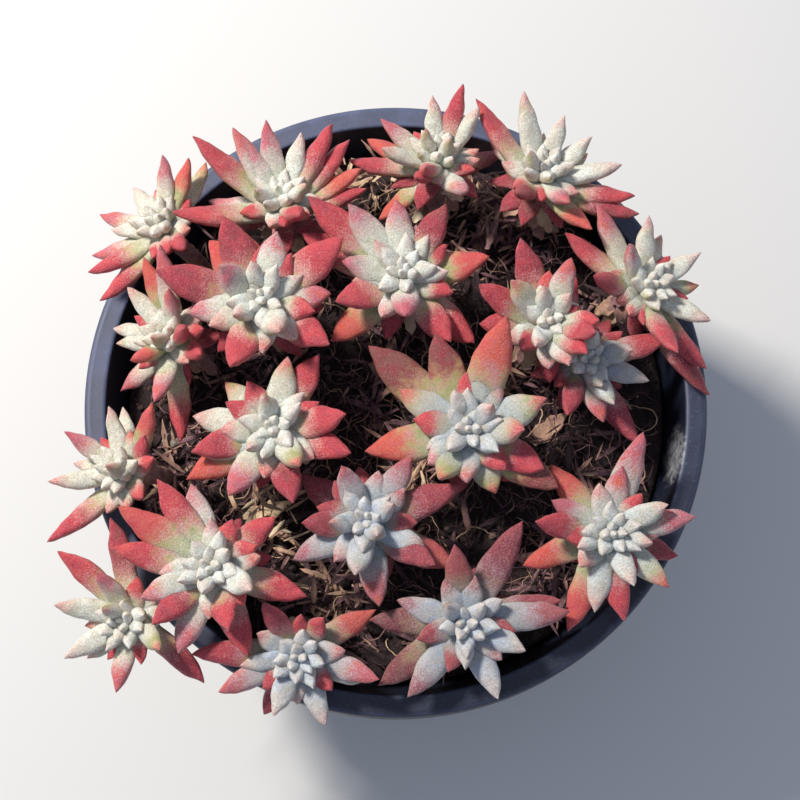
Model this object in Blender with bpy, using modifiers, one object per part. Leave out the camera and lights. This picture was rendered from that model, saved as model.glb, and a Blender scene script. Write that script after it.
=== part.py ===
"""A clump of dudleya gnoma in a black plastic bulb pan.

Nineteen rosettes of fleshy leaves stand on short woody stems in gritty soil. The pot is a moulded
pan with a rolled rim. The frame is the pot's own: the origin is the centre of its flat foot, +Z is
up, and -Y is the side that the clump is looked at from.
"""

import math
import random

import bmesh
import bpy
import numpy as np
from mathutils import Matrix, Vector
from mathutils.bvhtree import BVHTree

MM = 0.001
TOUCH = 0.3 * MM                      # what two pieces that meet keep between them

# The pot, a turned shell.
RIM_RADIUS = 75 * MM                  # a six inch pan
RIM_TOP = 85 * MM
RIM_WIDTH = 5.4 * MM                  # the flat ring on top
RIM_DROP = 12 * MM                    # how far the rolled edge hangs down outside
RIM_LIP = 1.3 * MM                    # thickness of that hanging edge
WALL = 1.8 * MM
FOOT_RADIUS = 54 * MM
FLOOR_TOP = 4.5 * MM                  # inside floor of the pot
RING_LIFT = 2.5 * MM                  # the holed ring stands this far off the table
RING_IN = 40 * MM
RING_OUT = 50 * MM
HOLE_COUNT = 4
HOLE_RADIUS = 4 * MM
HOLE_SIDES = 12
CUT = 12 * MM                         # length of a drain hole's cutter, longer than the floor is thick
TURNS = 40                            # steps round the pot and the soil
CREASE = math.radians(50)             # edges sharper than this are shaded as creases

# The soil.
SOIL_TOP = 72 * MM
SOIL_RELIEF = 1.1 * MM
STEM_DEPTH = 12 * MM                  # how deep a stem stands in the soil
SOCKET_SIDES = 8                      # of the hole for a stem, which is as round as the stem needs
SOCKET_ROOM = 0.6 * MM
SOCKET_LENGTH = 20 * MM

# The stems.
STEM_RADIUS = 2.3 * MM
NECK = 1.8 * MM                       # the straight last piece of a stem under its rosette
FAR_STEM = 58 * MM                    # no stem leaves the soil further out than this
STEM_SPACING = 9.5 * MM               # between the feet of two stems, at least
OVERHANG = 64 * MM                    # rosettes whose stems end further out hang over the rim
SKIRT_LEAVES = 4
SKIRT_LENGTH = 8 * MM
SKIRT_HALF_WIDTH = 2.2 * MM
SKIRT_THICKNESS = 0.9 * MM
SKIRT_TOP = 1.6 * MM                  # the first shrivelled leaf sits this far under the rosette
SKIRT_STEP = 0.9 * MM
SKIRT_FALL = 0.62                     # its tip is this share of its length lower than its root
SKIRT_BOW = -0.15
SKIRT_STATIONS = (0.25, 0.7)

# The litter on the soil: (x, y, turn in degrees, length) of each shed leaf, (x, y, radius) of each
# stone, in millimetres, and the two ends of a dry twig.
SHED_LEAVES = ((-31, -25, 20, 13), (21, 41, 75, 14), (-2, 9, 150, 12), (38, -4, 40, 12))
SHED_HALF_WIDTH = 2.6 * MM
SHED_HALF_THICKNESS = 0.7 * MM
SHED_BOW = 0.05
SHED_STATIONS = (0.2, 0.5, 0.8)
STONES = ((10, -62, 2.6), (-55, -8, 2.2))
STONE_HEIGHT = 0.7                    # as a share of its width
TWIG = ((-21, -33), (-13, -52))
TWIG_RADIUS = 0.9 * MM
TWIG_BEND = 1 * MM

# The leaves. A whorl is (length, half width, half thickness, rise of the leaf over the rosette's
# plane as a sine, height of the root on the rosette's axis).
LOW = (20 * MM, 4.3 * MM, 2.1 * MM, 0.12, 0.0 * MM)
MID = (15.5 * MM, 3.8 * MM, 2.1 * MM, 0.42, 1.5 * MM)
INNER = (11 * MM, 2.5 * MM, 2.0 * MM, 0.62, 2.6 * MM)
FILL = (13.5 * MM, 3.4 * MM, 2.0 * MM, 0.26, 1.0 * MM)
FILL_LEAVES = 6                       # stand in the widest gaps between those that the plan gives
OLD = (15 * MM, 3.4 * MM, 1.5 * MM, -0.35, -1.2 * MM)
OLD_LEAVES = 6                        # hang round the stem under all the others
STEEPEST_FALL = -0.6                  # an old leaf pressed down further than this is dropped
WIDEST = 0.5                          # where along a leaf it is widest
ARCH = 2.2                            # how long it keeps its width from there to its tip
CLASP = 0.8                           # its width at the root, as a share of the full width
YOUNG_LEAVES = 7                      # chalky leaves round the heart, with the inner ones
YOUNG_RISE = math.radians(31)
BUD_LEAVES = 7
BUD_RISE = (math.radians(40), math.radians(78))
BUD_LENGTH = (7.8 * MM, 5.0 * MM)
BUD_HALF_WIDTH = (1.9 * MM, 1.3 * MM)
ABOVE = 0.85                          # how far a leaf swells over and under its middle plane, as
BELOW = 1.15                          # shares of its half thickness
LEAF_STATIONS = (0.15, 0.5, 0.82)     # where along a leaf its section is drawn
EDGE = 1.16                           # its sides are drawn out to this, for the few sides it has
SMALL_STATIONS = (0.35, 0.8)
ROSETTE_TRIANGLES = 430
STEM_TRIANGLES = 120
PLUMPER_TRIES = 8
WELD = 0.01 * MM                      # points nearer than this count as one
HEART = 5 * MM                        # from the roots of the lowest leaves up to the heart
HEART_RISE = 0.05                     # each young leaf stands up this much more than the last,
HEART_SHRINK = 0.03                   # and is shorter by this share
TOP_BUD = 1.6 * MM                    # the last bud's root is this far under the heart
CORE_RADIUS = 4.2 * MM
CORE_FOOT = 0.62 * CORE_RADIUS
DOME = (0.9 * CORE_RADIUS, 0.3 * CORE_RADIUS)
CORE_DROP = 3.6 * MM                  # from those roots down to the flat end on the stem
ROOT_RING = 1.2 * MM                  # a leaf's root stands this far from the axis
BOW = 0.12                            # how far a leaf sags in its middle, as a share of its length
HEART_BOW = 0.1
HEART_PLUMPNESS = 0.8                 # a heart leaf's thickness, as a share of its width
STOUT = 0.4                           # how much a slender rosette keeps of its leaves' thickness
STEEP_SPREAD = 0.35                   # how far a leaf's rise may be from its whorl's
GOLDEN_ANGLE = math.radians(137.5)

# The plan of the clump is drawn as it is seen by an eye above the front of the pot, on a level
# sheet at PLAN_LEVEL. A point of the plan is slid along its line of sight to its real height.
PLAN_LEVEL = 100 * MM
EYE_ELEVATION = math.radians(78)
EYE_DISTANCE = 420 * MM
EYE = Vector((0, -EYE_DISTANCE * math.cos(EYE_ELEVATION),
              RIM_TOP + EYE_DISTANCE * math.sin(EYE_ELEVATION)))

# Each rosette: its heart (x, y on the plan, then its height), how it leans (sideways per unit of
# height), how slender its leaves are, and the tips of its low, middle and inner leaves on the
# plan. All in millimetres from the pot's axis, back to front and left to right.
ROSETTES = (
    ((-57.0, 40.5, 99), (-0.45, 0.30), 0.56,
     ((-71.4, 31.6), (-72.5, 27.6), (-69.3, 20.7), (-70.3, 42.0), (-45.0, 55.0)),
     ((-67.3, 38.2), (-62.5, 48.7), (-55.5, 57.0), (-49.3, 56.0), (-50.0, 33.5)),
     ()),
    ((-27.5, 47.5, 101), (-0.10, 0.55), 0.64,
     ((-48.5, 61.6), (-53.8, 42.0), (-44.3, 45.2), (-7.0, 48.3), (-8.0, 53.5), (-11.2, 60.8)),
     ((-39.0, 63.7), (-31.3, 65.7), (-22.5, 62.6), (-15.2, 64.8), (-22.5, 42.0)),
     ((-35.0, 59.0), (-33.7, 48.3), (-21.3, 49.6))),
    ((10.0, 58.0, 101), (0.00, 0.55), 0.60,
     ((-11.2, 55.3), (-7.0, 60.8), (25.7, 57.5), (17.0, 47.6), (-4.0, 40.5), (4.8, 51.0)),
     ((-3.5, 66.0), (-3.5, 58.4), (8.9, 71.8), (16.1, 74.8), (20.0, 68.9), (6.8, 53.5)),
     ((13.0, 61.4), (7.0, 63.6))),
    ((35.5, 54.0, 101), (0.20, 0.50), 0.62,
     ((19.3, 71.1), (22.0, 63.2), (56.8, 46.4), (57.6, 41.8), (46.5, 38.4), (29.0, 47.2)),
     ((30.8, 72.9), (40.4, 66.9), (46.9, 61.4), (46.0, 57.0), (53.8, 54.4), (41.3, 45.0)),
     ((35.4, 62.3), (32.2, 58.0))),
    ((60.3, 25.0, 99), (0.40, 0.10), 0.62,
     ((47.8, 44.8), (40.0, 37.4), (46.6, 26.8), (65.7, 8.3), (72.3, 4.3), (72.6, -1.9)),
     ((60.0, 41.6), (62.5, 37.0), (71.9, 32.5), (71.0, 24.3), (73.7, 15.9), (55.2, 34.7)),
     ()),
    ((36.0, 16.5, 104), (0.05, 0.00), 0.80,
     ((29.3, 36.3), (42.5, 26.5), (19.4, 24.6), (19.5, 15.2), (29.2, 9.2), (46.8, 13.0)),
     ((27.2, 25.8), (41.5, 31.2), (42.8, 19.5)),
     ((34.7, 24.2), (41.0, 22.6), (32.6, 10.0))),
    ((45.0, 7.0, 96), (0.15, -0.10), 0.68,
     ((39.7, -6.8), (55.8, -13.3), (48.0, -8.2), (64.0, 12.0)),
     ((58.8, 1.7), (55.3, 9.2), (50.5, -4.0)),
     ((47.7, 0.2), (41.0, 6.7))),
    ((2.0, 28.0, 104), (0.00, 0.08), 0.86,
     ((-20.8, 46.4), (-22.3, 37.3), (-14.0, 20.5), (-15.3, 11.0), (13.0, 10.8), (18.5, 10.3),
      (22.0, 31.7)),
     ((-11.3, 44.7), (0.2, 45.8), (12.0, 44.5), (-12.6, 30.5), (2.3, 17.0)),
     ((7.8, 37.0), (-5.2, 35.5), (12.4, 27.9))),
    ((-32.0, 21.5, 107), (0.00, 0.00), 0.95,
     ((-41.0, 41.8), (-37.0, 38.6), (-56.6, 28.4), (-12.3, 36.4), (-38.5, 5.0), (-15.5, 10.3),
      (-43.9, 35.7)),
     ((-27.9, 37.8), (-48.5, 17.9), (-15.2, 22.6), (-41.5, 29.3), (-27.0, 13.5)),
     ((-37.7, 17.2), (-33.9, 30.5), (-22.0, 27.0))),
    ((-54.5, 13.0, 99), (-0.40, 0.08), 0.60,
     ((-55.7, 34.5), (-59.5, 31.5), (-49.6, -13.2), (-56.0, -3.4), (-63.7, -0.9), (-45.2, 7.7)),
     ((-63.0, 24.1), (-66.0, 14.3), (-65.0, 10.4), (-61.6, 6.3), (-53.4, 23.8), (-49.7, 14.0)),
     ((-57.2, 12.0),)),
    ((-28.5, -9.0, 103), (0.00, 0.00), 0.84,
     ((-47.0, -6.8), (-39.5, 1.3), (-48.0, -21.6), (-47.0, -15.1), (-38.4, -25.3),
      (-23.5, -27.0), (-10.2, -15.4), (-11.5, -6.3), (-18.0, 8.0)),
     ((-25.1, 7.3), (-44.0, -16.2), (-22.0, -18.5)),
     ((-21.2, -1.0), (-30.6, -1.6), (-34.3, -14.5))),
    ((17.0, -9.3, 104), (0.00, 0.00), 0.94,
     ((-6.3, 10.1), (9.0, 13.0), (26.0, 17.3), (37.3, -23.7), (34.2, -19.4), (-7.0, -15.0),
      (10.0, -21.5)),
     ((21.7, 6.7), (34.9, -2.6), (29.7, -9.8), (23.0, -25.0), (0.7, -0.7)),
     ((13.5, -0.5), (6.7, -14.5), (22.5, -4.0))),
    ((-64.5, -19.5, 99), (-0.45, 0.05), 0.56,
     ((-79.3, -36.0), (-56.5, -3.6), (-57.7, -11.3), (-63.0, -4.5)),
     ((-76.3, -10.3), (-74.0, -17.8), (-79.7, -22.2), (-66.5, -4.4)),
     ((-66.5, -18.4),)),
    ((-42.2, -41.6, 105), (-0.05, -0.05), 0.78,
     ((-54.6, -21.6), (-63.6, -27.8), (-64.5, -37.5), (-20.0, -48.4), (-33.0, -61.8),
      (-55.0, -54.6), (-47.0, -22.5), (-37.5, -56.0)),
     ((-57.7, -49.0), (-49.0, -61.3), (-32.5, -46.8), (-27.5, -30.0)),
     ((-42.0, -30.2),)),
    ((-6.8, -31.0, 101), (0.00, 0.00), 0.80,
     ((-22.0, -20.6), (-21.5, -31.5), (-3.8, -50.7), (13.7, -41.7), (9.0, -41.3),
      (15.1, -22.9), (-8.3, -18.5)),
     ((-23.3, -40.0), (-9.3, -43.5), (6.9, -37.7), (3.8, -16.2), (-12.5, -18.5)),
     ((-15.2, -31.5), (-0.5, -27.2), (-4.0, -34.5))),
    ((49.5, -33.5, 100), (0.12, -0.10), 0.72,
     ((57.2, -10.4), (35.3, -18.0), (31.8, -31.5), (28.7, -41.6), (38.8, -56.3), (64.0, -39.3),
      (51.5, -54.0)),
     ((52.0, -18.2), (35.7, -26.5), (68.4, -30.0), (62.3, -27.3), (62.0, -46.3), (44.8, -52.0),
      (54.0, -46.0)),
     ((58.6, -36.3), (41.5, -37.5))),
    ((-61.5, -54.0, 99), (-0.35, -0.30), 0.64,
     ((-65.0, -30.4), (-42.8, -67.7), (-76.9, -37.9)),
     ((-77.3, -50.2), (-74.4, -62.2), (-69.2, -62.4), (-62.6, -69.7), (-53.0, -60.4),
      (-68.0, -42.8)),
     ((-66.5, -51.2),)),
    ((-22.0, -62.2, 98), (0.00, -0.25), 0.68,
     ((-46.0, -61.2), (-30.0, -49.8), (-21.5, -52.5), (-4.5, -51.5), (-3.7, -67.0),
      (-29.5, -74.8)),
     ((-39.8, -69.8), (-27.4, -74.9), (-15.6, -77.3), (-7.5, -67.6)),
     ((-35.0, -64.0),)),
    ((15.7, -54.8, 98), (0.00, -0.18), 0.74,
     ((-3.9, -68.3), (-6.0, -53.6), (29.0, -31.0), (13.5, -36.5), (37.5, -49.2)),
     ((0.3, -49.3), (2.8, -71.0), (23.0, -71.2), (29.3, -60.6), (39.5, -51.8)),
     ((15.6, -64.7), (24.3, -48.9), (11.3, -50.2))),
)


def on_sight_line(x, y, height):
    """The point of the plan at x, y, slid along its line of sight to this height."""
    sheet = Vector((x, y, PLAN_LEVEL))
    return EYE + (sheet - EYE) * ((EYE.z - height) / (EYE.z - PLAN_LEVEL))


def tip_of_leaf(x, y, root, axis, length, rise):
    """Where the leaf from this root ends: on the line of sight of its tip, at its own length.

    Of the two places that do, it takes the one whose rise over the rosette's plane is nearer to
    the whorl's. A tip further off than the length gets a longer leaf, and one that would stand
    up more steeply than the whorl does gets a shorter leaf.
    """
    ray = (Vector((x, y, PLAN_LEVEL)) - EYE).normalized()
    nearest = (root - EYE).dot(ray)
    while True:
        spare = length ** 2 - (EYE + ray * nearest - root).length_squared
        if spare <= 0:
            return EYE + ray * nearest
        places = [EYE + ray * (nearest + side * math.sqrt(spare)) for side in (-1, 1)]
        steeps = [(place - root).dot(axis) / length for place in places]
        best = min((0, 1), key=lambda side: abs(steeps[side] - rise))
        if abs(steeps[best] - rise) < STEEP_SPREAD:
            return places[best]
        length *= 0.96


class Leaf:
    """A leaf on its centre line, a quadratic curve from the root through a handle to the tip."""

    def __init__(self, rosette, root, tip, axis, half_width, half_thickness, bow):
        self.rosette = rosette
        self.root = root
        self.tip = tip
        self.axis = axis
        self.half_width = half_width
        self.half_thickness = half_thickness
        self.handle = (root + tip) / 2 - axis * (bow * (tip - root).length)

    def at(self, t):
        return self.root * (1 - t) ** 2 + self.handle * (2 * t * (1 - t)) + self.tip * t ** 2

    def along(self, t):
        return ((self.handle - self.root) * (1 - t) + (self.tip - self.handle) * t).normalized()


def fullness(t):
    """The share of a leaf's full width at t: a broad clasping base, a full middle, an arched tip."""
    if t < WIDEST:
        return CLASP + (1 - CLASP) * math.sin(t / WIDEST * math.pi / 2)
    return 1 - ((t - WIDEST) / (1 - WIDEST)) ** ARCH


def rosette_axis(lean):
    return Vector((lean[0], lean[1], 1)).normalized()


def rosette_leaves(index):
    """The rosette's leaves: three whorls whose tips the plan gives, the leaves between and under
    them, and a heart of bud leaves."""
    heart, lean, slender, *whorls = ROSETTES[index]
    stocky = STOUT + (1 - STOUT) * slender
    axis = rosette_axis(lean)
    centre = on_sight_line(heart[0] * MM, heart[1] * MM, heart[2] * MM) - axis * HEART
    leaves = []
    for (length, half_width, half_thickness, rise, height), tips in zip((LOW, MID, INNER), whorls):
        for x, y in tips:
            root = centre + axis * height
            tip = tip_of_leaf(x * MM, y * MM, root, axis, length, rise)
            size = 0.6 + 0.4 * (tip - root).length / length
            wide = half_width * size * (slender if tips is not whorls[2] else stocky)
            outward = (tip - root) - axis * (tip - root).dot(axis)
            root = root + outward.normalized() * ROOT_RING
            leaves.append(Leaf(index, root, tip, axis, wide, half_thickness * size * stocky, BOW))
    side = axis.orthogonal().normalized()
    front = axis.cross(side)
    ends = [leaf.tip - leaf.root for leaf in leaves]
    turns = [math.atan2(end.dot(front), end.dot(side)) for end in ends]
    length, half_width, half_thickness, rise, height = FILL
    for _ in range(FILL_LEAVES):
        turns.append(widest_gap(turns))
        way = side * math.cos(turns[-1]) + front * math.sin(turns[-1]) + axis * rise
        root = centre + axis * height
        leaves.append(Leaf(index, root, root + way * (length * stocky), axis, half_width * stocky,
                           half_thickness * stocky, BOW))
    length, half_width, half_thickness, rise, height = OLD
    overhanging = math.hypot(centre.x, centre.y) > OVERHANG
    for number in range(0 if overhanging else OLD_LEAVES):
        turn = 0.5 + index + number * GOLDEN_ANGLE
        way = side * math.cos(turn) + front * math.sin(turn) + axis * rise
        root = centre + axis * height
        leaves.append(Leaf(index, root, root + way * (length * stocky), axis, half_width * stocky,
                           half_thickness * stocky, -BOW))
    length, half_width, half_thickness, _, height = INNER
    young = YOUNG_LEAVES - len(whorls[2])
    for number in range(young):
        rise = YOUNG_RISE + HEART_RISE * number
        reach = length * stocky * (1 - HEART_SHRINK * number)
        leaves.append(heart_leaf(index, number, centre + axis * height, axis, rise, reach,
                                 half_width * stocky))
    for number in range(BUD_LEAVES):
        share = number / (BUD_LEAVES - 1)
        rise, reach, wide = (high + (low - high) * share
                             for high, low in (BUD_RISE, BUD_LENGTH, BUD_HALF_WIDTH))
        root = centre + axis * (height + (HEART - TOP_BUD - height) * share)
        leaves.append(heart_leaf(index, young + number, root, axis, rise, reach, wide))
    return centre, axis, leaves


def widest_gap(turns):
    """The direction in the middle of the widest gap between these, all angles round one axis."""
    around = sorted(turn % (2 * math.pi) for turn in turns)
    gaps = [(after - before, before)
            for before, after in zip(around, around[1:] + [around[0] + 2 * math.pi])]
    width, before = max(gaps)
    return before + width / 2


def heart_leaf(index, number, root, axis, rise, reach, half_width):
    """One of the short leaves of the heart, each turned by the golden angle from the last."""
    turn = Matrix.Rotation(index + number * GOLDEN_ANGLE, 3, axis)
    way = turn @ axis.orthogonal().normalized() * math.cos(rise) + axis * math.sin(rise)
    return Leaf(index, root, root + way * reach, axis, half_width, half_width * HEART_PLUMPNESS,
                HEART_BOW)


# How leaves of different rosettes make room for each other.
STATIONS = np.array((0.15, 0.3, 0.45, 0.6, 0.75, 0.9, 1.0))
ROOM = 0.45 * MM
ROUNDS = 150
EASE = 0.4
SLOPE_REACH = 1.6 * MM                # how much more height a steep leaf takes between stations
NEIGHBOUR = 4 * MM                    # leaves further apart on the plan than this never meet


def station_points(roots, handles, tips):
    """The points of every leaf's centre line at the stations, leaf by leaf."""
    t = STATIONS[None, :, None]
    lines = (roots[:, None] * (1 - t) ** 2 + handles[:, None] * (2 * t * (1 - t))
             + tips[:, None] * t ** 2)
    return lines.reshape(-1, 3)


def lowest_allowed(points, reach):
    """How low a leaf may pass at each point: over the soil, and over the rim where it crosses it."""
    radius = np.hypot(points[:, 0], points[:, 1])
    inside = RIM_RADIUS - RIM_WIDTH - 2 * MM
    beyond = radius > RIM_RADIUS + 2 * MM
    floor = np.where(beyond, 0.0, np.where(radius > inside, RIM_TOP, SOIL_TOP + 2 * MM))
    return floor + reach + ROOM


def settle(leaves, posts):
    """Bends the leaves that would cross a leaf of another rosette until they lie clear of it.

    The higher leaf goes up and the lower one down, each along its own line of sight, so the plan
    doesn't change. Stems and cores, the posts, stand still: a leaf that meets one swings aside.
    """
    count, stops = len(leaves), len(STATIONS)
    roots = np.array([leaf.root[:] for leaf in leaves])
    handles = np.array([leaf.handle[:] for leaf in leaves])
    tips = np.array([leaf.tip[:] for leaf in leaves])
    full = np.array([fullness(t) for t in STATIONS])
    wide = np.array([leaf.half_width * np.maximum(full, 0.12) for leaf in leaves]).ravel()
    thick = np.array([leaf.half_thickness * np.maximum(full, 0.3) for leaf in leaves]).ravel()
    owner = np.repeat([leaf.rosette for leaf in leaves], stops)
    share = np.tile(STATIONS, count)
    leaf_of = np.repeat(np.arange(count), stops)
    sight = (np.array(EYE) - tips) / np.linalg.norm(np.array(EYE) - tips, axis=1)[:, None]
    start = station_points(roots, handles, tips)
    apart = np.hypot(start[:, None, 0] - start[None, :, 0], start[:, None, 1] - start[None, :, 1])
    near = apart < wide[:, None] + wide[None, :] + NEIGHBOUR
    one, other = np.nonzero(near & (owner[:, None] != owner[None, :]))
    post_owner = np.repeat([post[0] for post in posts], [len(post[1]) for post in posts])
    post_radius = np.repeat([post[2] for post in posts], [len(post[1]) for post in posts])
    post_points = np.array([point[:] for post in posts for point in post[1]])
    for _ in range(ROUNDS):
        points = station_points(roots, handles, tips)
        ends = tips - roots
        steep = np.abs(ends[:, 2]) / np.linalg.norm(ends, axis=1)
        reach = thick + np.repeat(steep, stops) * SLOPE_REACH
        over = points[one, 2] - points[other, 2]
        apart = np.hypot(points[one, 0] - points[other, 0], points[one, 1] - points[other, 1])
        need = reach[one] + reach[other] + ROOM - np.abs(over)
        need = np.where((apart < wide[one] + wide[other]) & (need > 0), need, 0.0)
        need = need * np.where(over >= 0, 1.0, -1.0) * share[one] / (share[one] + share[other])
        up = np.zeros(len(points))
        down = np.zeros(len(points))
        np.maximum.at(up, one, need)
        np.minimum.at(down, one, need)
        low = lowest_allowed(points, reach) - points[:, 2]
        move = np.where(low > 0, np.maximum(up + down, low), up + down) / np.maximum(share, 0.35)
        rise = np.zeros(count)
        fall = np.zeros(count)
        np.maximum.at(rise, leaf_of, move)
        np.minimum.at(fall, leaf_of, move)
        slide = sight * ((rise + fall) * EASE)[:, None]
        away = points[:, None, :] - post_points[None, :, :]
        gap = np.hypot(away[..., 0], away[..., 1])
        short = post_radius[None, :] + wide[:, None] * 0.9 + ROOM - gap
        hit = (owner[:, None] != post_owner[None, :]) & (np.abs(away[..., 2]) < 3 * MM) & (short > 0)
        push = np.where(hit, short / np.maximum(gap, 0.1 * MM), 0.0)
        aside = np.zeros((len(points), 3))
        aside[:, 0] = (away[..., 0] * push).sum(axis=1)
        aside[:, 1] = (away[..., 1] * push).sum(axis=1)
        for axis in (0, 1):
            np.add.at(slide[:, axis], leaf_of, aside[:, axis] * EASE / 2)
        tips = tips + slide
        handles = handles + slide / 2
    for leaf, handle, tip in zip(leaves, handles, tips):
        leaf.handle = Vector(handle)
        leaf.tip = Vector(tip)


def hangs_free(leaf):
    """Whether a leaf still spreads from its stem, and isn't pressed down along it."""
    line = leaf.tip - leaf.root
    return line.dot(leaf.axis) > STEEPEST_FALL * line.length


def stem_feet(tops):
    """Where the stems leave the soil: under their rosettes, inside the pot, and spaced out."""
    feet = []
    for top in tops:
        flat = Vector((top.x, top.y))
        feet.append(flat * min(0.93, FAR_STEM / max(flat.length, 0.1 * MM)))
    for _ in range(60):
        for one in feet:
            for other in feet:
                away = one - other
                if one is not other and away.length < STEM_SPACING:
                    one += away.normalized() * (0.1 * (STEM_SPACING - away.length))
            if one.length > FAR_STEM:
                one *= FAR_STEM / one.length
    return feet


def stem_spine(centre, axis, foot):
    """The stem's centre line, from its foot in the soil up to the flat end of the core."""
    top = centre - axis * (CORE_DROP + TOUCH)
    neck = top - axis * NECK
    ground = Vector((foot.x, foot.y, SOIL_TOP + 2 * MM))
    handle = neck - axis * (0.5 * (neck - ground).length)
    handle.z = max(handle.z, ground.z + 0.55 * (neck.z - ground.z))
    if math.hypot(top.x, top.y) > OVERHANG:
        handle = Vector((foot.x, foot.y, neck.z))
    points = [Vector((foot.x, foot.y, SOIL_TOP - STEM_DEPTH))]
    for u in (0, 0.3, 0.65, 1):
        points.append(ground * (1 - u) ** 2 + handle * (2 * u * (1 - u)) + neck * u ** 2)
    return points + [top]


# The collections, the materials and the shapes of the pieces.

def clear_scene():
    for thing in list(bpy.data.objects):
        bpy.data.objects.remove(thing, do_unlink=True)


def new_collection(name):
    made = bpy.data.collections.new(name)
    bpy.context.scene.collection.children.link(made)
    return made


def material(name, colour, roughness, metallic=0.0):
    made = bpy.data.materials.new(name)
    made.use_nodes = True
    shader = made.node_tree.nodes["Principled BSDF"]
    shader.inputs["Base Color"].default_value = (*colour, 1)
    shader.inputs["Roughness"].default_value = roughness
    shader.inputs["Metallic"].default_value = metallic
    return made


def add_object(name, mesh, collection, finish=None):
    made = bpy.data.objects.new(name, mesh)
    collection.objects.link(made)
    if finish:
        mesh.materials.append(finish)
    return made


def mesh_from(shape, name):
    """The mesh of this shape, with its faces turned outwards."""
    bmesh.ops.recalc_face_normals(shape, faces=shape.faces)
    if shape.calc_volume(signed=True) < 0:
        bmesh.ops.reverse_faces(shape, faces=shape.faces)
    mesh = bpy.data.meshes.new(name)
    shape.to_mesh(mesh)
    shape.free()
    return mesh


def shade_round(piece):
    """Smooth shading, but for the creases."""
    piece.data.polygons.foreach_set("use_smooth", [True] * len(piece.data.polygons))
    piece.data.set_sharp_from_angle(angle=CREASE)


def apply_modifiers(target):
    graph = bpy.context.evaluated_depsgraph_get()
    mesh = bpy.data.meshes.new_from_object(target.evaluated_get(graph))
    old = target.data
    target.modifiers.clear()
    target.data = mesh
    bpy.data.meshes.remove(old)


def turned(name, profile, collection, finish=None):
    """The profile, points of (radius, height) down the outside and back up the inside, turned."""
    mesh = bpy.data.meshes.new(name)
    edges = [(i, i + 1) for i in range(len(profile) - 1)]
    mesh.from_pydata([(radius, 0, height) for radius, height in profile], edges, [])
    made = add_object(name, mesh, collection, finish)
    screw = made.modifiers.new("Turn", "SCREW")
    screw.steps = TURNS
    screw.render_steps = TURNS
    screw.use_merge_vertices = True
    screw.merge_threshold = 0.00001
    screw.use_normal_calculate = True
    apply_modifiers(made)
    return made


def leaf_mesh(leaf, name, sides, stations, plump=1.0):
    """A sphere drawn out along the leaf: flat above, keeled below, with a broad base and a tip."""
    shape = bmesh.new()
    bmesh.ops.create_uvsphere(shape, u_segments=sides, v_segments=len(stations) + 1, radius=1)
    first = math.radians(30 if sides == 3 else 0)
    for vertex in shape.verts:
        place = math.acos(max(-1.0, min(1.0, vertex.co.z))) / math.pi * (len(stations) + 1)
        t = (0.0, *stations, 1.0)[round(place)]
        around = math.atan2(vertex.co.y, vertex.co.x) + first
        along = leaf.along(t)
        across = along.cross(leaf.axis).normalized()
        upward = across.cross(along)
        full = fullness(t) if 0 < t < 1 else 0.0
        swell = ABOVE if math.sin(around) > 0 else BELOW
        height = math.sin(around) * leaf.half_thickness * plump * swell
        side = math.copysign(min(1, abs(math.cos(around)) * EDGE), math.cos(around))
        vertex.co = leaf.at(t) + (across * (side * leaf.half_width) + upward * height) * full
    return mesh_from(shape, name)


def join_all(body, others):
    """Fuses the body with all the others in their collection, which are then removed."""
    union = body.modifiers.new("Join", "BOOLEAN")
    union.operation = "UNION"
    union.operand_type = "COLLECTION"
    union.collection = others
    union.solver = "EXACT"
    apply_modifiers(body)
    for thing in list(others.objects):
        bpy.data.objects.remove(thing, do_unlink=True)
    keep_largest_shell(body.data)


def keep_largest_shell(mesh):
    """Drops sealed hollows and loose scraps, and leaves the outer surface."""
    shape = bmesh.new()
    shape.from_mesh(mesh)
    left = set(shape.faces)
    shells = []
    while left:
        stack = [left.pop()]
        shell = set(stack)
        while stack:
            for edge in stack.pop().edges:
                for face in edge.link_faces:
                    if face in left:
                        left.remove(face)
                        shell.add(face)
                        stack.append(face)
        shells.append(shell)
    shells.sort(key=len)
    for shell in shells[:-1]:
        bmesh.ops.delete(shape, geom=list(shell), context="FACES")
    bmesh.ops.triangulate(shape, faces=shape.faces)
    shape.to_mesh(mesh)
    shape.free()


def is_sound(mesh):
    """Whether the mesh is closed, with just two faces at every edge, also where its points meet."""
    shape = bmesh.new()
    shape.from_mesh(mesh)
    bmesh.ops.remove_doubles(shape, verts=shape.verts, dist=WELD)
    sound = all(edge.is_manifold for edge in shape.edges)
    shape.free()
    return sound


def thin_out(body, most):
    """Merges the slivers that a union leaves where leaves cross, down to this many triangles."""
    count = len(body.data.polygons)
    if count <= most:
        return
    thin = body.modifiers.new("Thin", "DECIMATE")
    thin.ratio = most / count
    thin.use_collapse_triangulate = True
    apply_modifiers(body)


def tube(name, points, radius, collection, finish=None):
    """A round bar along these points, as a closed mesh."""
    line = bpy.data.curves.new(name, "CURVE")
    line.dimensions = "3D"
    line.bevel_depth = radius
    line.bevel_resolution = 1
    line.twist_mode = "MINIMUM"
    line.use_fill_caps = True
    spline = line.splines.new("POLY")
    spline.points.add(len(points) - 1)
    for knot, point in zip(spline.points, points):
        knot.co = (*point, 1)
    guide = bpy.data.objects.new(name + "_guide", line)
    collection.objects.link(guide)
    graph = bpy.context.evaluated_depsgraph_get()
    mesh = bpy.data.meshes.new_from_object(guide.evaluated_get(graph))
    bpy.data.objects.remove(guide, do_unlink=True)
    shape = bmesh.new()
    shape.from_mesh(mesh)
    bpy.data.meshes.remove(mesh)
    bmesh.ops.remove_doubles(shape, verts=shape.verts, dist=0.01 * MM)
    return add_object(name, mesh_from(shape, name), collection, finish)


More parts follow.
